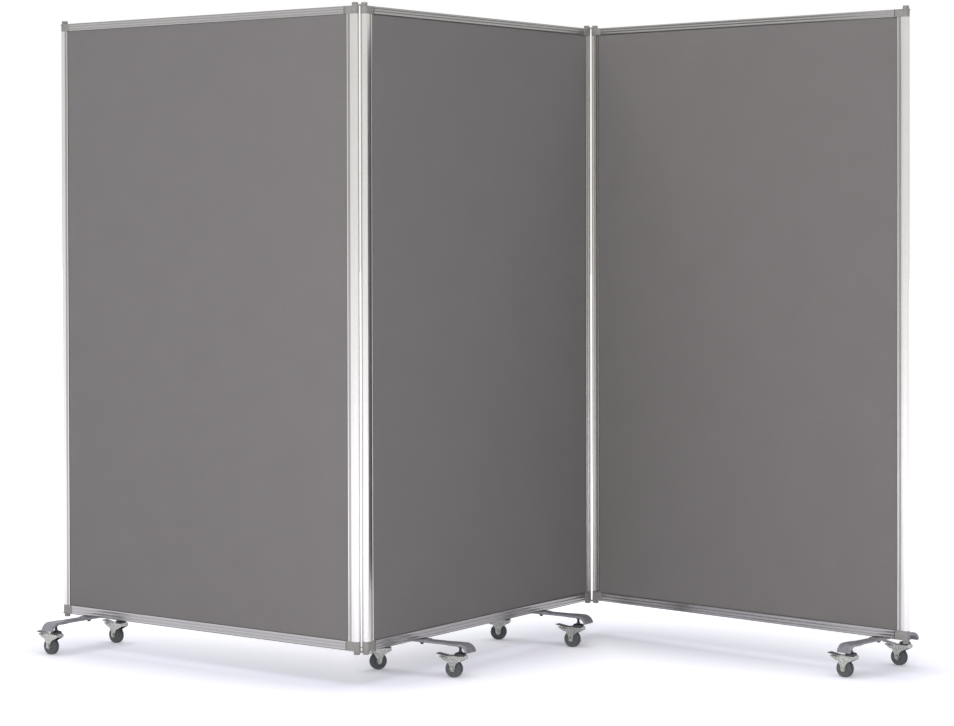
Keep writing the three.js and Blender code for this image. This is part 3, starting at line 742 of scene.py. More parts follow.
def foot_bar():
    """The bar. Its top line runs level from the middle and then down round the hook's arc; a section of
    rounded corners is carried along it square to the line, and its width eases from the bar's to the
    hook's. The other half is its mirror."""
    sweep = math.radians(hook_sweep)
    level_end = foot_reach - hook_radius * math.sin(sweep)
    along = np.linspace(0, level_end, level_steps * 2)
    flat = np.stack([along, np.full_like(along, bar_top)], axis=-1)
    angle = np.linspace(0, sweep, hook_steps + 1)[1:]
    hook = np.stack([level_end + hook_radius * np.sin(angle),
                     bar_top - hook_radius * (1 - np.cos(angle))], axis=-1)
    line = np.concatenate([flat, hook])
    line = np.concatenate([(line[:0:-1] * (-1, 1)), line])
    normal = left_of(line)
    reach = np.abs(line[:, 0]) / foot_reach
    flare = smoothed((reach - flare_shares[0]) / (flare_shares[1] - flare_shares[0]))
    width = foot_width + (foot_end_width - foot_width) * flare
    width[[0, -1]] -= bar_edge * 2
    half = bar_thickness / 2
    section = rounded_rectangle(0.5, half, bar_edge, tip_steps)
    across = np.sign(section[:, 0]) * (np.abs(section[:, 0]) - 0.5)
    x = np.sign(section[:, 0])[None] * (width[:, None] / 2) + across[None]
    depth = section[:, 1][None] - half
    y = line[:, 0, None] + normal[:, 0, None] * depth
    z = line[:, 1, None] + normal[:, 1, None] * depth
    points, faces = capped(np.stack([x, y, z], axis=-1))
    faces = [face[::-1] for face in faces]
    rows, count = x.shape
    girth = travelled(section * (foot_width, 1))
    uv = np.stack([np.tile(girth, rows), np.repeat(travelled(line), count)], axis=-1)
    return points, faces, uv


def foot_saddle():
    """The wedge under the rail: rounded rectangles that draw in from the bar to the rail, by a square law."""
    low = bar_top - bar_thickness / 2
    high = frame_bottom - seat_gap
    share = np.linspace(0, 1, saddle_levels)
    length = saddle_top_length + (saddle_length - saddle_top_length) * (1 - share) ** 2
    half_width = foot_width / 2 - saddle_inset
    rings = np.stack([rounded_rectangle(half_width, each / 2, saddle_edge, tip_steps) for each in length])
    points, faces = capped(rings, low + (high - low) * share)
    return points, faces, points[:, :2].copy()


thread_pitch = 0.00125
thread_depth = 0.00035
thread_end = 0.75
thread_steps = 24
nut_cone_share = 0.6
nut_face_share = 0.97
nut_steps = 72
washer_bore = 0.002
washer_steps = 36


def hexagon_nut(across_corners, low, high):
    """A nut about z: at each angle the radius is the hexagon's, cut back near both faces to a cone."""
    angle = np.linspace(0, 2 * np.pi, nut_steps, endpoint=False)
    corner = across_corners / 2
    flat = corner * math.cos(math.pi / 6)
    hexagon = flat / np.cos((angle + np.pi / 6) % (np.pi / 3) - np.pi / 6)
    cone_height = (corner - flat) * nut_cone_share
    cone_top = flat * nut_face_share
    heights = np.array([low, low + cone_height, high - cone_height, high])
    limits = np.array([cone_top, corner, corner, cone_top])
    radius = np.minimum(hexagon[None], limits[:, None])
    points, faces = capped(np.stack([radius * np.cos(angle), radius * np.sin(angle)], axis=-1), heights)
    return points, faces, points[:, :2].copy()


def threaded(radius, low, high):
    """A threaded shank about z: its radius dips by a triangle wave along its length."""
    height = np.arange(low, high, thread_pitch / 4)
    wave = np.abs((height / thread_pitch) % 1 - 0.5) * 2
    profile = np.stack([radius - thread_depth * wave, height], axis=-1)
    end = radius * thread_end
    return turned(np.concatenate([[(end, low)], profile, [(end, high)]]), thread_steps)


def washer(radius, low, high):
    """A washer about z, its edges broken; the bolt fills its hole."""
    edge = (high - low) / 4
    return turned(softened([
        (washer_bore, low), (radius - edge, low), (radius, low + edge), (radius, high - edge),
        (radius - edge, high), (washer_bore, high)], edge / 2), washer_steps)


bolt_radius = 0.004
washer_radius = 0.0085
washer_thickness = 0.0011
bolt_washer_thickness = 0.0012
nut_across = 0.014
nut_height = 0.005
stem_nut_across = nut_across * 1.05
stem_nut_height = 0.0045
bolt_show = 0.0025
castor_height = 0.0765
crown_bottom = 0.062
rivet_radius = 0.0065
rivet_height = 0.003
rivet_draft = 0.6
rivet_edge = 0.0004
under_bar = bar_top - bar_thickness


def foot_bolt():
    """The bolt's end under the bar, with its nut and washer."""
    nut_top = under_bar - bolt_washer_thickness
    return together(washer(washer_radius, nut_top, under_bar),
                    hexagon_nut(nut_across, under_bar - nut_height, nut_top),
                    threaded(bolt_radius, under_bar - nut_height - bolt_show, under_bar))


def foot_stem(y):
    """A castor's stem: threaded, nutted up to the bar, and riveted over below the fork's crown."""
    nut_top = under_bar - washer_thickness
    rivet_top = crown_bottom - running_gap
    rivet = turned(softened([
        (rivet_radius * rivet_draft, rivet_top - rivet_height),
        (rivet_radius, rivet_top - rivet_height * rivet_draft), (rivet_radius, rivet_top),
        (bolt_radius, rivet_top), (bolt_radius, castor_height)], rivet_edge))
    stem = together(rivet, threaded(bolt_radius, castor_height, under_bar + bar_thickness / 2),
                    washer(washer_radius, nut_top, under_bar),
                    hexagon_nut(stem_nut_across, nut_top - stem_nut_height, nut_top))
    return moved(stem, y=y)


foot_grey = (0.195, 0.188, 0.206)
foot_pale = (0.285, 0.277, 0.298)
coating = clouded("silver-grey coating", foot_grey, foot_pale, cloud=(90.0, 4.0), roughness=(0.38, 0.52),
                  grain=(1500.0, 2.0), bump=0.00004, share=0.8, dusting=0.2, Metallic=0.35, Coat_Weight=0.15)


def plated(name, dark, pale, roughness, dusting):
    """Plated steel in two cloudy tones, with a fine grain and floor dust."""
    return clouded(name, dark, pale, cloud=(320.0, 4.0, 0.8), roughness=roughness, grain=(2400.0, 3.0),
                   bump=0.00002, dusting=dusting, Metallic=1.0)


zinc = plated("bright zinc plate", dark=(0.16, 0.166, 0.15), pale=(0.70, 0.71, 0.65),
              roughness=(0.16, 0.3), dusting=0.15)
dark_steel = plated("dark oiled steel", dark=(0.06, 0.06, 0.063), pale=(0.17, 0.17, 0.175),
                    roughness=(0.42, 0.55), dusting=0.2)

for foot, stand in foot_stands.items():
    body = f"{panel_of_foot[foot]}_panel"
    piece(f"{foot}_foot_bar", foot_bar(), stand, coating, body, [f"{foot}_foot"])
    piece(f"{foot}_foot_saddle", foot_saddle(), stand, coating, body)
    hardware = together(foot_bolt(), foot_stem(-castor_offset), foot_stem(castor_offset))
    piece(f"{foot}_foot_bolt_and_stems", hardware, stand, dark_steel, body)

# The castors' forks. Each is one zinc-plated pressing: a crown with the ball race on it, a lip down
# its front and two tapering legs past the wheel, with the axle bolt and the pedal's rivet through.
# The faces inside the fork get a near-black metal, which is painted shade between legs and wheel.

wheel_radius = 0.025
trail = 0.020
leg_inside = 0.0123
leg_thickness = 0.002
leg_outside = leg_inside + leg_thickness
crown_top = 0.065
head_radius = 0.017
head_rim = 0.003
head_top_radius = 0.008
race_collar_radius = 0.0058
leg_front_depth = 0.008
waist_height = 0.033
waist_reach = 0.0082
knee_height = 0.043
knee_reach = 0.0135
boss_radius = 0.008
boss_rise = math.radians(8)
lobe_radius = 0.006
bend_radius = 0.0035
pivot_distance = wheel_radius + 0.0094
pivot_angle = math.radians(64)
pivot_x = trail + pivot_distance * math.cos(pivot_angle)
pivot_z = wheel_radius + pivot_distance * math.sin(pivot_angle)
leg_levels = 26
bend_steps = 6
crown_steps = 6
leg_columns = 9
toe_steps = 6
toe_clearance = 0.0001
lip_inset = 0.00006
lip_round = 0.0005
pressing_edge = 0.0004
race_bore = 0.005
race_seat = 0.0005
race_chamfer = 0.001
race_edge = 0.0004
race_step = 0.0002
race_groove_share = 0.35
race_groove_depth = 0.0018
race_groove_height = 0.001
race_groove_slope = 0.0001
race_dome_share = 0.55
race_dome_steps = 8


def leg_edges(height):
    """Where the leg's front and rear edges stand at each height: straight runs from the crown, by way of
    a knee in front, and from the lobe round the pedal's rivet to a waist and on to the boss, and circles
    about rivet and axle."""
    boss_low = wheel_radius - boss_radius * math.sin(boss_rise)
    boss_reach = boss_radius * math.cos(boss_rise)
    boss = np.sqrt(np.clip(boss_radius**2 - (height - wheel_radius) ** 2, 0, None))
    front_run = np.interp(height, [boss_low, waist_height, knee_height, crown_bottom - leg_front_depth],
                          [trail - boss_reach, trail - waist_reach, trail - knee_reach, -head_radius])
    front = np.where(height < boss_low, trail - boss, front_run)
    lobe = np.sqrt(np.clip(lobe_radius**2 - (height - pivot_z) ** 2, 0, None))
    lobe_low = pivot_z - lobe_radius / 2
    lobe_reach = lobe_radius * math.cos(math.radians(30))
    rear_run = np.interp(height, [boss_low, waist_height, lobe_low],
                         [trail + boss_reach, trail + waist_reach, pivot_x + lobe_reach])
    crown_run = np.interp(height, [pivot_z + lobe_radius, crown_top], [pivot_x, head_radius])
    rear = np.where(height < boss_low, trail + boss, rear_run)
    rear = np.where(height > lobe_low, pivot_x + lobe, rear)
    rear = np.where(height > pivot_z, np.maximum(pivot_x + lobe, crown_run), rear)
    return front, np.where(height > pivot_z + lobe_radius, crown_run, rear)


def fork_pressing():
    """The sheet. Its middle line goes up one leg, round the bend, over the crown and down the other leg;
    at each point it is as wide as the leg's edges at that height, and half a thickness lies on each side.
    The mask marks the faces inside the fork, which take painted shade."""
    middle = leg_inside + leg_thickness / 2
    bend = bend_radius - leg_thickness / 2
    top = crown_top - leg_thickness / 2
    boss_low = wheel_radius - boss_radius * math.sin(boss_rise)
    toe = wheel_radius - boss_radius + toe_clearance
    toe_levels = toe + (boss_low - toe) * (1 - np.cos(np.linspace(0, np.pi / 2, toe_steps + 1)[:-1]))
    leg_z = np.concatenate([toe_levels, np.linspace(boss_low, top - bend, leg_levels)])
    angle = np.linspace(0, np.pi / 2, bend_steps + 1)[1:]
    bend_y = middle - bend + bend * np.cos(angle)
    bend_z = top - bend + bend * np.sin(angle)
    crown_y = np.linspace(bend_y[-1], 0, crown_steps + 1)[1:]
    y = np.concatenate([np.full(len(leg_z), middle), bend_y, crown_y])
    z = np.concatenate([leg_z, bend_z, np.full(crown_steps, top)])
    y, z = np.concatenate([y, -y[-2::-1]]), np.concatenate([z, z[-2::-1]])
    line = np.stack([y, z], axis=-1)
    outwards = -left_of(line)
    front, rear = leg_edges(z)
    x = front[:, None] + (rear - front)[:, None] * np.linspace(0, 1, leg_columns)
    sheets = []
    for side in (0.5, -0.5):
        offset = line + outwards * side * leg_thickness
        sheets.append(np.stack([x, np.broadcast_to(offset[:, 0, None], x.shape),
                                np.broadcast_to(offset[:, 1, None], x.shape)], axis=-1).reshape(-1, 3))
    outer, inner, band = two_sheets(*x.shape)
    faces = [face[::-1] for face in outer + inner + band]
    uv = np.stack([x.ravel(), np.repeat(travelled(line), leg_columns)], axis=-1)
    inside = np.zeros(len(faces))
    inside[len(outer):-len(band)] = 1
    return (np.concatenate(sheets), faces, np.concatenate([uv, uv])), inside


def fork_lip():
    """The lip between the legs' front edges: a plate whose top corners follow the crown's bends, just
    inside the pressing's own faces. The mask marks its rear face, which takes painted shade."""
    half, top = leg_outside - lip_inset, crown_top - lip_inset
    low = crown_bottom - leg_front_depth
    outline = filleted([(-half, low), (half, low), (half, top), (-half, top)],
                       [lip_round, lip_round, bend_radius, bend_radius], bend_steps)
    lip = laid_along_x(prism(outline, lip_inset - head_radius, leg_thickness - head_radius))
    rear = np.zeros(len(lip[1]))
    rear[-1] = 1
    return lip, rear


def swivel_race():
    """The ball race: a flange on the crown, a dark groove where the balls run, a domed cup over it and a
    collar round the stem."""
    groove = crown_top + head_rim * race_groove_share
    inside_groove = head_radius - race_groove_depth
    dome = np.linspace(0, np.pi / 2, race_dome_steps + 1)
    rise = (castor_height - crown_top - head_rim) * race_dome_share
    cup = np.stack([head_top_radius + (head_radius - head_top_radius) * np.cos(dome),
                    crown_top + head_rim + rise * np.sin(dome)], axis=-1)
    collar = crown_top + head_rim + rise + race_step
    groove_top = groove + race_groove_height
    profile = np.concatenate([
        [(race_bore, crown_top - race_seat), (head_radius - race_chamfer, crown_top - race_seat),
         (head_radius, crown_top + race_edge), (head_radius, groove),
         (inside_groove, groove + race_groove_slope), (inside_groove, groove_top - race_groove_slope),
         (head_radius, groove_top)],
        cup,
        [(race_collar_radius + race_edge, collar), (race_collar_radius, collar + race_edge),
         (race_collar_radius, castor_height), (bolt_radius + running_gap, castor_height)],
    ])
    return turned(profile)


def laid_along_y(shape, x, z, turned_round=False):
    """A shape about z laid so that its axis runs along y, through a point in x and z."""
    points, faces, uv = shape
    if turned_round:
        points = points * (-1, 1, -1)
    return points[:, [0, 2, 1]] * (1, 1, -1) + (x, 0, z), faces, uv


def through_fork(shank_radius, steps, head, x, z):
    """A shank through both legs, with the same head on either side."""
    shank = turned([(shank_radius, -leg_outside), (shank_radius, leg_outside)], steps)
    return together(laid_along_y(shank, x, z), *[laid_along_y(head, x, z, flip) for flip in (False, True)])


axle_nut_across = 0.013
axle_show = 0.004
axle_washer_thickness = 0.0007
axle_washer_inset = 0.0004
axle_thread_share = 0.9
axle_tip_share = 0.7
axle_tip_chamfer = 0.0003
axle_past_nut = 0.0006
axle_steps = 32
rivet_head_radius = 0.004
rivet_head_width = 0.0015
rivet_seat_radius = 0.001
rivet_flat_radius = 0.0004
rivet_dome_steps = 5
rivet_steps = 28
pin_radius = 0.0025
pin_steps = 24


def axle_bolt():
    """The axle: a bolt right through the boss of both legs, with a washer and a hexagon each side."""
    end = leg_outside + axle_show
    thread = bolt_radius * axle_thread_share
    tip = [(thread, leg_outside), (thread, end - axle_tip_chamfer), (bolt_radius * axle_tip_share, end)]
    nut_seat = leg_outside + axle_washer_thickness
    head = together(washer(boss_radius - axle_washer_inset, leg_outside, nut_seat),
                    hexagon_nut(axle_nut_across, nut_seat, end - axle_past_nut), turned(tip, thread_steps))
    return through_fork(bolt_radius, axle_steps, head, trail, wheel_radius)


def pedal_rivet():
    """The pedal's rivet: a pin through both legs with a low domed head each side."""
    dome = np.linspace(0, np.pi / 2, rivet_dome_steps + 1)
    round_head = np.stack([rivet_head_radius * np.cos(dome), leg_outside + rivet_head_width * np.sin(dome)],
                          axis=-1)
    head = np.concatenate([
        [(rivet_seat_radius, leg_outside), (rivet_head_radius, leg_outside)], round_head[1:-1],
        [(rivet_flat_radius, leg_outside + rivet_head_width)]])
    return through_fork(pin_radius, pin_steps, turned(head, rivet_steps), pivot_x, pivot_z)


# Near black for the faces inside the fork and behind its lip: painted shade between legs and wheel.
fork_painted_shade = plated("painted shade inside the fork", dark=(0.022, 0.023, 0.022), pale=(0.05, 0.051, 0.05),
                     roughness=(0.45, 0.6), dusting=0.05)

for castor, stand in castor_stands.items():
    body = f"{castor}_swivel"
    pressing, inside = fork_pressing()
    lip, lip_rear = fork_lip()
    # The faces inside the fork and the lip's rear take the painted shade.
    piece(f"{castor}_fork_pressing", together(pressing, lip), stand, zinc, body, [f"{castor}_fork"],
          bevel=pressing_edge, second=(fork_painted_shade, np.concatenate([inside, lip_rear])))
    piece(f"{castor}_swivel_race", swivel_race(), stand, dark_steel, body)
    piece(f"{castor}_axle_and_rivet", together(axle_bolt(), pedal_rivet()), stand, zinc, body)

# The wheels. A grey rubber tyre with a low crown and a moulded ring on its side, over a hub with a
# dished web, shallow pockets and a boss that takes the axle.

tyre_half = 0.009
tyre_shoulder = 0.0025
tyre_bend_steps = 6
wall_depth = 0.0006
ring_start = 0.0010
ring_end = 0.0026
ring_foot = 0.0034
shoulder_foot = 0.0016
shoulder_start = 0.0008
rim_radius = 0.013
hub_half = leg_inside - running_gap
web_half = 0.006
hub_rings = (0.0043, 0.0062, 0.0078, 0.0086, 0.0090, 0.0092, 0.0095, 0.0100, 0.0105, 0.0110, 0.0115,
             0.0119, 0.0122, 0.0124, 0.0126)
hub_boss_drops = (0.0002, 0.0008)
hub_web_rises = (0.0004, 0.0006)
hub_rim_inset = 0.0008
pocket_middle = 0.0108
pocket_reach = 0.0013
pocket_depth = 0.0014
pocket_sharpness = 2.2
pocket_width = 0.6
pockets = 5
wheel_steps = 96
tyre_crown = 0.0003
tread_side_share = 0.4
tread_drop_share = 0.3


def ring_band(first, second):
    """Quads between two rings of the wheel, given by their first points' numbers."""
    start = np.arange(wheel_steps)
    ahead = np.roll(start, -1)
    return np.stack([first + start, second + start, second + ahead, first + ahead], axis=-1).tolist()


def tyre():
    """The tyre, turned: sidewall with a raised ring, round shoulder, tread that drops a little each side;
    a last band closes it where it grips the hub."""
    shoulder = wheel_radius - tyre_shoulder
    wall = tyre_half - wall_depth
    half = [(rim_radius, wall), (rim_radius + ring_start, tyre_half), (rim_radius + ring_end, tyre_half),
            (rim_radius + ring_foot, wall), (shoulder - shoulder_foot, wall),
            (shoulder - shoulder_start, tyre_half), (shoulder, tyre_half)]
    angle = np.linspace(0, np.pi / 2, tyre_bend_steps + 1)[1:]
    bend = np.stack([shoulder + (tyre_shoulder - tyre_crown) * np.sin(angle),
                     tyre_half - tyre_shoulder * (1 - np.cos(angle))], axis=-1)
    tread_side = (wheel_radius - tyre_crown * tread_drop_share, tyre_half * tread_side_share)
    side = np.concatenate([half, bend, [tread_side]])
    loop = np.concatenate([side * (1, -1), [(wheel_radius, 0.0)], side[::-1]])
    points, faces, uv = turned(loop, wheel_steps)
    faces = faces[:-2] + ring_band(0, (len(loop) - 1) * wheel_steps)
    return laid_along_y((points, faces, uv), trail, wheel_radius)


def hub():
    """The hub. Its side is a height over radius and angle: the boss, a fillet, the web, and the rim; in
    the web each pocket dips by a smooth bump of radius times a smooth bump of angle."""
    radius = np.array([*hub_rings, rim_radius])
    rim = tyre_half - hub_rim_inset
    boss = [hub_half] * 3 + [hub_half - drop for drop in hub_boss_drops]
    web = [web_half + hub_web_rises[0]] + [web_half] * 7 + [web_half + hub_web_rises[1]]
    side = np.array(boss + web + [rim, rim])
    angle = np.linspace(0, 2 * np.pi, wheel_steps, endpoint=False)
    ring = np.clip(1 - ((radius - pocket_middle) / pocket_reach) ** 4, 0, 1)
    spoke = smoothed(np.cos(pockets * angle) * pocket_sharpness + pocket_width)
    depth = side[:, None] - pocket_depth * ring[:, None] * spoke[None]
    radius = np.broadcast_to(radius[:, None], depth.shape)
    near = np.stack([radius * np.cos(angle), -depth, radius * np.sin(angle)], axis=-1).reshape(-1, 3)
    count = len(near)
    last = count - wheel_steps
    faces = grid_faces(len(depth), wheel_steps, closed=True)
    faces = [face[::-1] for face in faces] + [[count + corner for corner in face] for face in faces]
    faces += [face[::-1] for face in ring_band(0, count)] + ring_band(last, last + count)
    points = np.concatenate([near, near * (1, -1, 1)])
    return points + (trail, 0, wheel_radius), faces, points[:, [0, 2]].copy()


rubber_grey = (0.028, 0.033, 0.036)
rubber_worn = (0.106, 0.116, 0.118)
rubber = clouded("grey rubber", rubber_grey, rubber_worn, cloud=(300.0, 4.0), roughness=(0.6, 0.8),
                 grain=(3000.0, 2.0), bump=0.00004, dusting=0.15, Specular_IOR_Level=0.35)
hub_grey = (0.105, 0.112, 0.108)
hub_shade = (0.070, 0.075, 0.073)
hub_plastic = clouded("dark hub moulding", hub_grey, hub_shade, cloud=(400.0, 3.0), roughness=(0.38, 0.5),
                      grain=(2500.0, 2.0), bump=0.00003, share=1.0, dusting=0.25, Specular_IOR_Level=0.5)

for castor, stand in castor_stands.items():
    body = f"{castor}_wheel"
    piece(f"{castor}_tyre", tyre(), stand, rubber, body, [f"{castor}_wheel"])
    piece(f"{castor}_hub", hub(), stand, hub_plastic, body)

# The brake pedals. A dark pressed lever on a barrel round the rivet, with a wider pad at its tip,
# and a bright release tab below it.

pedal_half = leg_inside - running_gap
barrel_radius = 0.005
pedal_thickness = 0.002
pedal_reach = 0.038
pedal_tip_rise = 0.0105
pedal_heel = 0.007
pedal_heel_rise = 0.0035
tab_reach = 0.029
tab_rise = 0.003
tab_drop = 0.006
tab_heel = 0.009
tab_heel_drop = 0.0085
pad_half = 0.0125
pad_length = 0.026
pad_ridges = 5
pad_shoulder = 0.002
lever_radii = (0.0012, 0.0015, 0.0015, 0.004)
lever_sheet_share = 0.8
lever_steps = 6
ridge_foot_share = 0.5
ridges_from_pad = 0.006
ridges_from_tip = 0.004
ridge_half = 0.0006
ridge_ends = 0.003
ridge_round = 0.0005
ridge_edge = 0.0003
pedal_edge = 0.0005
barrel_edge = 0.0004
tab_round = 0.0005
tab_edge = 0.0003


def spread_along_y(shape):
    """A shape whose outline lay in x and y, stood up so that the outline is in x and z."""
    points, faces, uv = shape
    return points[:, [0, 2, 1]] * (1, -1, 1), faces, uv


def lever():
    """The lever in plan, narrow over the barrel and wider at the pad, as a sheet that slopes up to its
    tip; low ridges cross the pad."""
    slope = (pedal_tip_rise - pedal_heel_rise) / (pedal_reach + pedal_heel)
    pad_start = pedal_reach - pad_length
    one_side = [(-pedal_heel, pedal_half), (pad_start - pad_shoulder, pedal_half),
                (pad_start + pad_shoulder, pad_half), (pedal_reach, pad_half)]
    outline = filleted([(x, -y) for x, y in one_side] + one_side[::-1], lever_radii + lever_radii[::-1],
                       lever_steps)
    sheet = prism(outline, 0, pedal_thickness * lever_sheet_share, pedal_edge)
    ridge_outline = rounded_rectangle(ridge_half, pad_half - ridge_ends, ridge_round, 4)
    ridge = prism(ridge_outline, pedal_thickness * ridge_foot_share, pedal_thickness, ridge_edge)
    places = np.linspace(pad_start + ridges_from_pad, pedal_reach - ridges_from_tip, pad_ridges)
    points, faces, uv = together(sheet, *[moved(ridge, x=place) for place in places])
    lift = pedal_heel_rise + slope * (points[:, 0] + pedal_heel)
    points = points + np.stack([np.zeros_like(lift), np.zeros_like(lift), lift], axis=-1)
    return points + (pivot_x, 0, pivot_z), faces, uv


def pedal_barrel():
    """The barrel: a tube round the rivet, with its edges broken."""
    bore = pin_radius + running_gap
    ring = softened([(bore, -pedal_half), (barrel_radius, -pedal_half), (barrel_radius, pedal_half),
                     (bore, pedal_half)], barrel_edge)
    return laid_along_y(turned(ring, 36), pivot_x, pivot_z)


def release_tab():
    """The tab: a wedge from under the barrel, down to its heel and out below the lever."""
    corners = [(0.0, -tab_drop), (tab_heel, -tab_heel_drop), (tab_reach, tab_rise),
               (tab_reach, tab_rise + pedal_thickness), (0.0, 0.0)]
    tab = prism(filleted(corners, tab_round, 3), -pedal_half, pedal_half, tab_edge)
    return moved(spread_along_y(tab), x=pivot_x, z=pivot_z)


pedal_dark = (0.10, 0.10, 0.107)
pedal_shine = (0.27, 0.268, 0.282)
pedal_steel = clouded("dark pedal steel", pedal_dark, pedal_shine, cloud=(180.0, 4.0, 0.5),
                      roughness=(0.3, 0.46), grain=(2000.0, 2.0), bump=0.00003, share=0.8, dusting=0.2,
                      Metallic=0.75)

for castor, stand in castor_stands.items():
    body = f"{castor}_brake"
    piece(f"{castor}_pedal_lever", together(lever(), pedal_barrel()), stand, pedal_steel, body,
          [f"{castor}_pedal"])
    piece(f"{castor}_release_tab", release_tab(), stand, zinc, body)

# The floor: a plain white studio floor, with the screen's soft bluish shadow on it. It glows a little
# to the camera, more the further it is from the panels, so that it fades to white. The weaker glow
# near the lines where the panels stand at rest paints shadow there, on top of the real one.

floor_half = 40.0
floor_colour = (0.83, 0.83, 0.93)
# The glow at the panels' lines and at the end of the painted shadow, and how far that shadow reaches.
painted_shadow_glow = (0.09, 0.48)
painted_shadow_reach = (0.0, 0.38)
glow_far = (0.0, 0.6)
clear_of_room = (0.6, 2.8)
floor_mesh = bpy.data.meshes.new("floor")
floor_corners = [(x * floor_half, y * floor_half, 0) for x, y in ((-1, -1), (1, -1), (1, 1), (-1, 1))]
floor_mesh.from_pydata(floor_corners, [], [(0, 1, 2, 3)])
floor = bpy.data.objects.new("floor", floor_mesh)
bpy.context.scene.collection.objects.link(floor)
floor_finish, floor_tree, floor_shader = finish("white floor", Roughness=1.0, Specular_IOR_Level=0.0)
floor_shader.inputs["Base Color"].default_value = (*floor_colour, 1.0)


def seen_directly(tree):
    """One for a ray from the camera, off a gloss or through glass, and nought for the light's own."""
    paths = add_node(tree, "ShaderNodeLightPath")
    glossy = math_of(tree, "MAXIMUM", paths.outputs["Is Glossy Ray"], paths.outputs["Is Transmission Ray"])
    return math_of(tree, "MAXIMUM", paths.outputs["Is Camera Ray"], glossy)


def vector_of(tree, operation, output, values):
    """One step between vectors, read at the named output."""
    return add_node(tree, "ShaderNodeVectorMath", values, operation=operation).outputs[output]


def distance_from_line(tree, place, start, ahead, length):
    """How far a place is from a level line: from the point on it that lies nearest, held to its ends."""
    offset = vector_of(tree, "SUBTRACT", "Vector", {0: place, 1: start})
    run = vector_of(tree, "DOT_PRODUCT", "Value", {0: offset, 1: ahead})
    held = ranged(tree, run, 0.0, length, 0.0, length)
    along = vector_of(tree, "SCALE", "Vector", {0: ahead, "Scale": held})
    return vector_of(tree, "DISTANCE", "Value", {0: offset, 1: along})


floor_place = add_node(floor_tree, "ShaderNodeTexCoord").outputs["Object"]
from_screen = floor_half
for stand in panel_stands.values():
    line_start = stand[:2, 3] - stand[:2, 0] * pivot_span / 2
    apart = distance_from_line(floor_tree, floor_place, (*line_start, 0.0), (*stand[:2, 0], 0.0), pivot_span)
    from_screen = math_of(floor_tree, "MINIMUM", apart, from_screen)
# Less glow near the panels' lines: painted shadow along the screen's foot.
glow_with_painted_shadow = math_of(floor_tree, "ADD", ranged(floor_tree, from_screen, *painted_shadow_glow, *painted_shadow_reach),
                   ranged(floor_tree, from_screen, *glow_far, *clear_of_room))
seen_white = math_of(floor_tree, "MULTIPLY", seen_directly(floor_tree), glow_with_painted_shadow)
glow = add_node(floor_tree, "ShaderNodeEmission", {"Color": (1.0, 1.0, 1.0, 1.0), "Strength": seen_white})
floor_sum = add_node(floor_tree, "ShaderNodeAddShader")
floor_tree.links.new(floor_shader.outputs["BSDF"], floor_sum.inputs[0])
floor_tree.links.new(glow.outputs["Emission"], floor_sum.inputs[1])
floor_tree.links.new(floor_sum.outputs["Shader"], floor_tree.nodes["Material Output"].inputs["Surface"])
floor_mesh.materials.append(floor_finish)

# The studio: a pale surround that is brighter from the left and from above, a wide soft light at the
# front left and a larger one high above, which draws the soft shadow in under the panels.

surround = bpy.data.worlds.new("studio")
bpy.context.scene.world = surround
surround.use_nodes = True
surround_tree = surround.node_tree
surround_shader = surround_tree.nodes["Background"]
direction = add_node(surround_tree, "ShaderNodeTexCoord").outputs["Generated"]


def glow_from(axis, level):
    """Light from about a direction: the square of how squarely it comes from there, times a level."""
    facing = vector_of(surround_tree, "DOT_PRODUCT", "Value", {0: direction, 1: axis})
    facing = math_of(surround_tree, "MAXIMUM", facing, 0.0)
    return math_of(surround_tree, "MULTIPLY", math_of(surround_tree, "MULTIPLY", facing, facing), level)


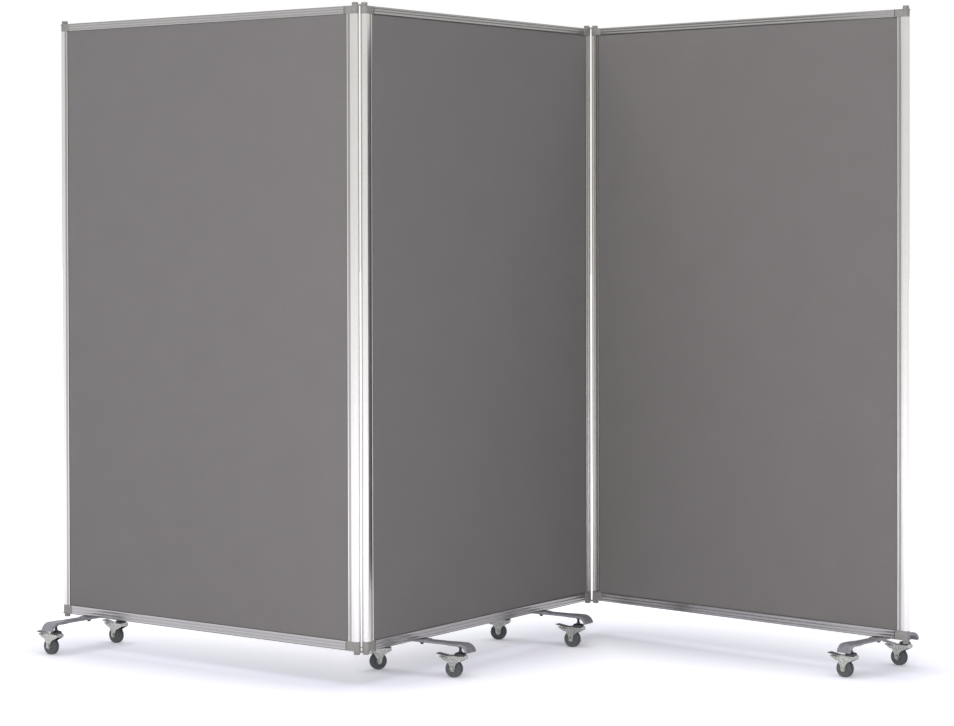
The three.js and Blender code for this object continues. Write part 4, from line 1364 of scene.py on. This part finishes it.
glow_left = 1.0
glow_above = 0.45
glow_all_round = 0.08
surround_light = math_of(surround_tree, "ADD", glow_from((-1.0, 0.0, 0.0), glow_left),
                         glow_from((0.0, 0.0, 1.0), glow_above))
surround_light = math_of(surround_tree, "ADD", surround_light, glow_all_round)
surround_seen = add_node(surround_tree, "ShaderNodeMix", {
    "Factor": seen_directly(surround_tree), "A": surround_light, "B": 1.0})
surround_tree.links.new(surround_seen.outputs["Result"], surround_shader.inputs["Strength"])
surround_shader.inputs["Color"].default_value = (1.0, 1.0, 1.0, 1.0)


def softbox(name, place, aim, size, power):
    """A rectangular lamp at a place, turned to face a point."""
    lamp = bpy.data.lights.new(name, "AREA")
    lamp.shape = "RECTANGLE"
    lamp.size, lamp.size_y = size
    lamp.energy = power
    made = bpy.data.objects.new(name, lamp)
    bpy.context.scene.collection.objects.link(made)
    made.rotation_euler = (Vector(place) - Vector(aim)).to_track_quat("Z", "Y").to_euler()
    made.location = place
    made.visible_camera = False
    return made


left_light = softbox("left softbox", place=(-5.0, -2.5, 1.3), aim=(0.2, -0.3, 0.9), size=(3.0, 2.2),
                     power=176)
left_light.visible_glossy = False
softbox("overhead softbox", place=(0.0, 0.0, 6.5), aim=(0.0, 0.0, 0.0), size=(8.0, 8.0), power=350)

# The camera, at the height of a standing person's chest, a long way off. It looks a little down, is
# rolled a little, and has its lens shifted so that the posts stay upright in the picture.

camera_place = (-6.5371, -4.4697, 1.3403)
camera_heading = (0.8285, 0.5599)
camera_pitch = math.radians(0.81)
camera_roll = math.radians(0.13)
camera_data = bpy.data.cameras.new("camera")
camera_data.lens = 100.46
camera_data.sensor_width = 36
camera_data.shift_x = -0.0106
camera_data.shift_y = -0.1207
camera = bpy.data.objects.new("camera", camera_data)
bpy.context.scene.collection.objects.link(camera)
ahead = np.array([*camera_heading, 0.0])
ahead /= np.linalg.norm(ahead)
right = np.array([ahead[1], -ahead[0], 0.0])
forward = ahead * math.cos(camera_pitch) - np.array([0, 0, 1.0]) * math.sin(camera_pitch)
rolled_right = right * math.cos(camera_roll) - np.cross(right, forward) * math.sin(camera_roll)
camera_matrix = np.eye(4)
camera_matrix[:3] = np.stack([rolled_right, np.cross(rolled_right, forward), -forward, camera_place], axis=-1)
camera.matrix_world = Matrix(camera_matrix.tolist())
bpy.context.scene.camera = camera
bpy.context.scene.view_settings.view_transform = "Standard"
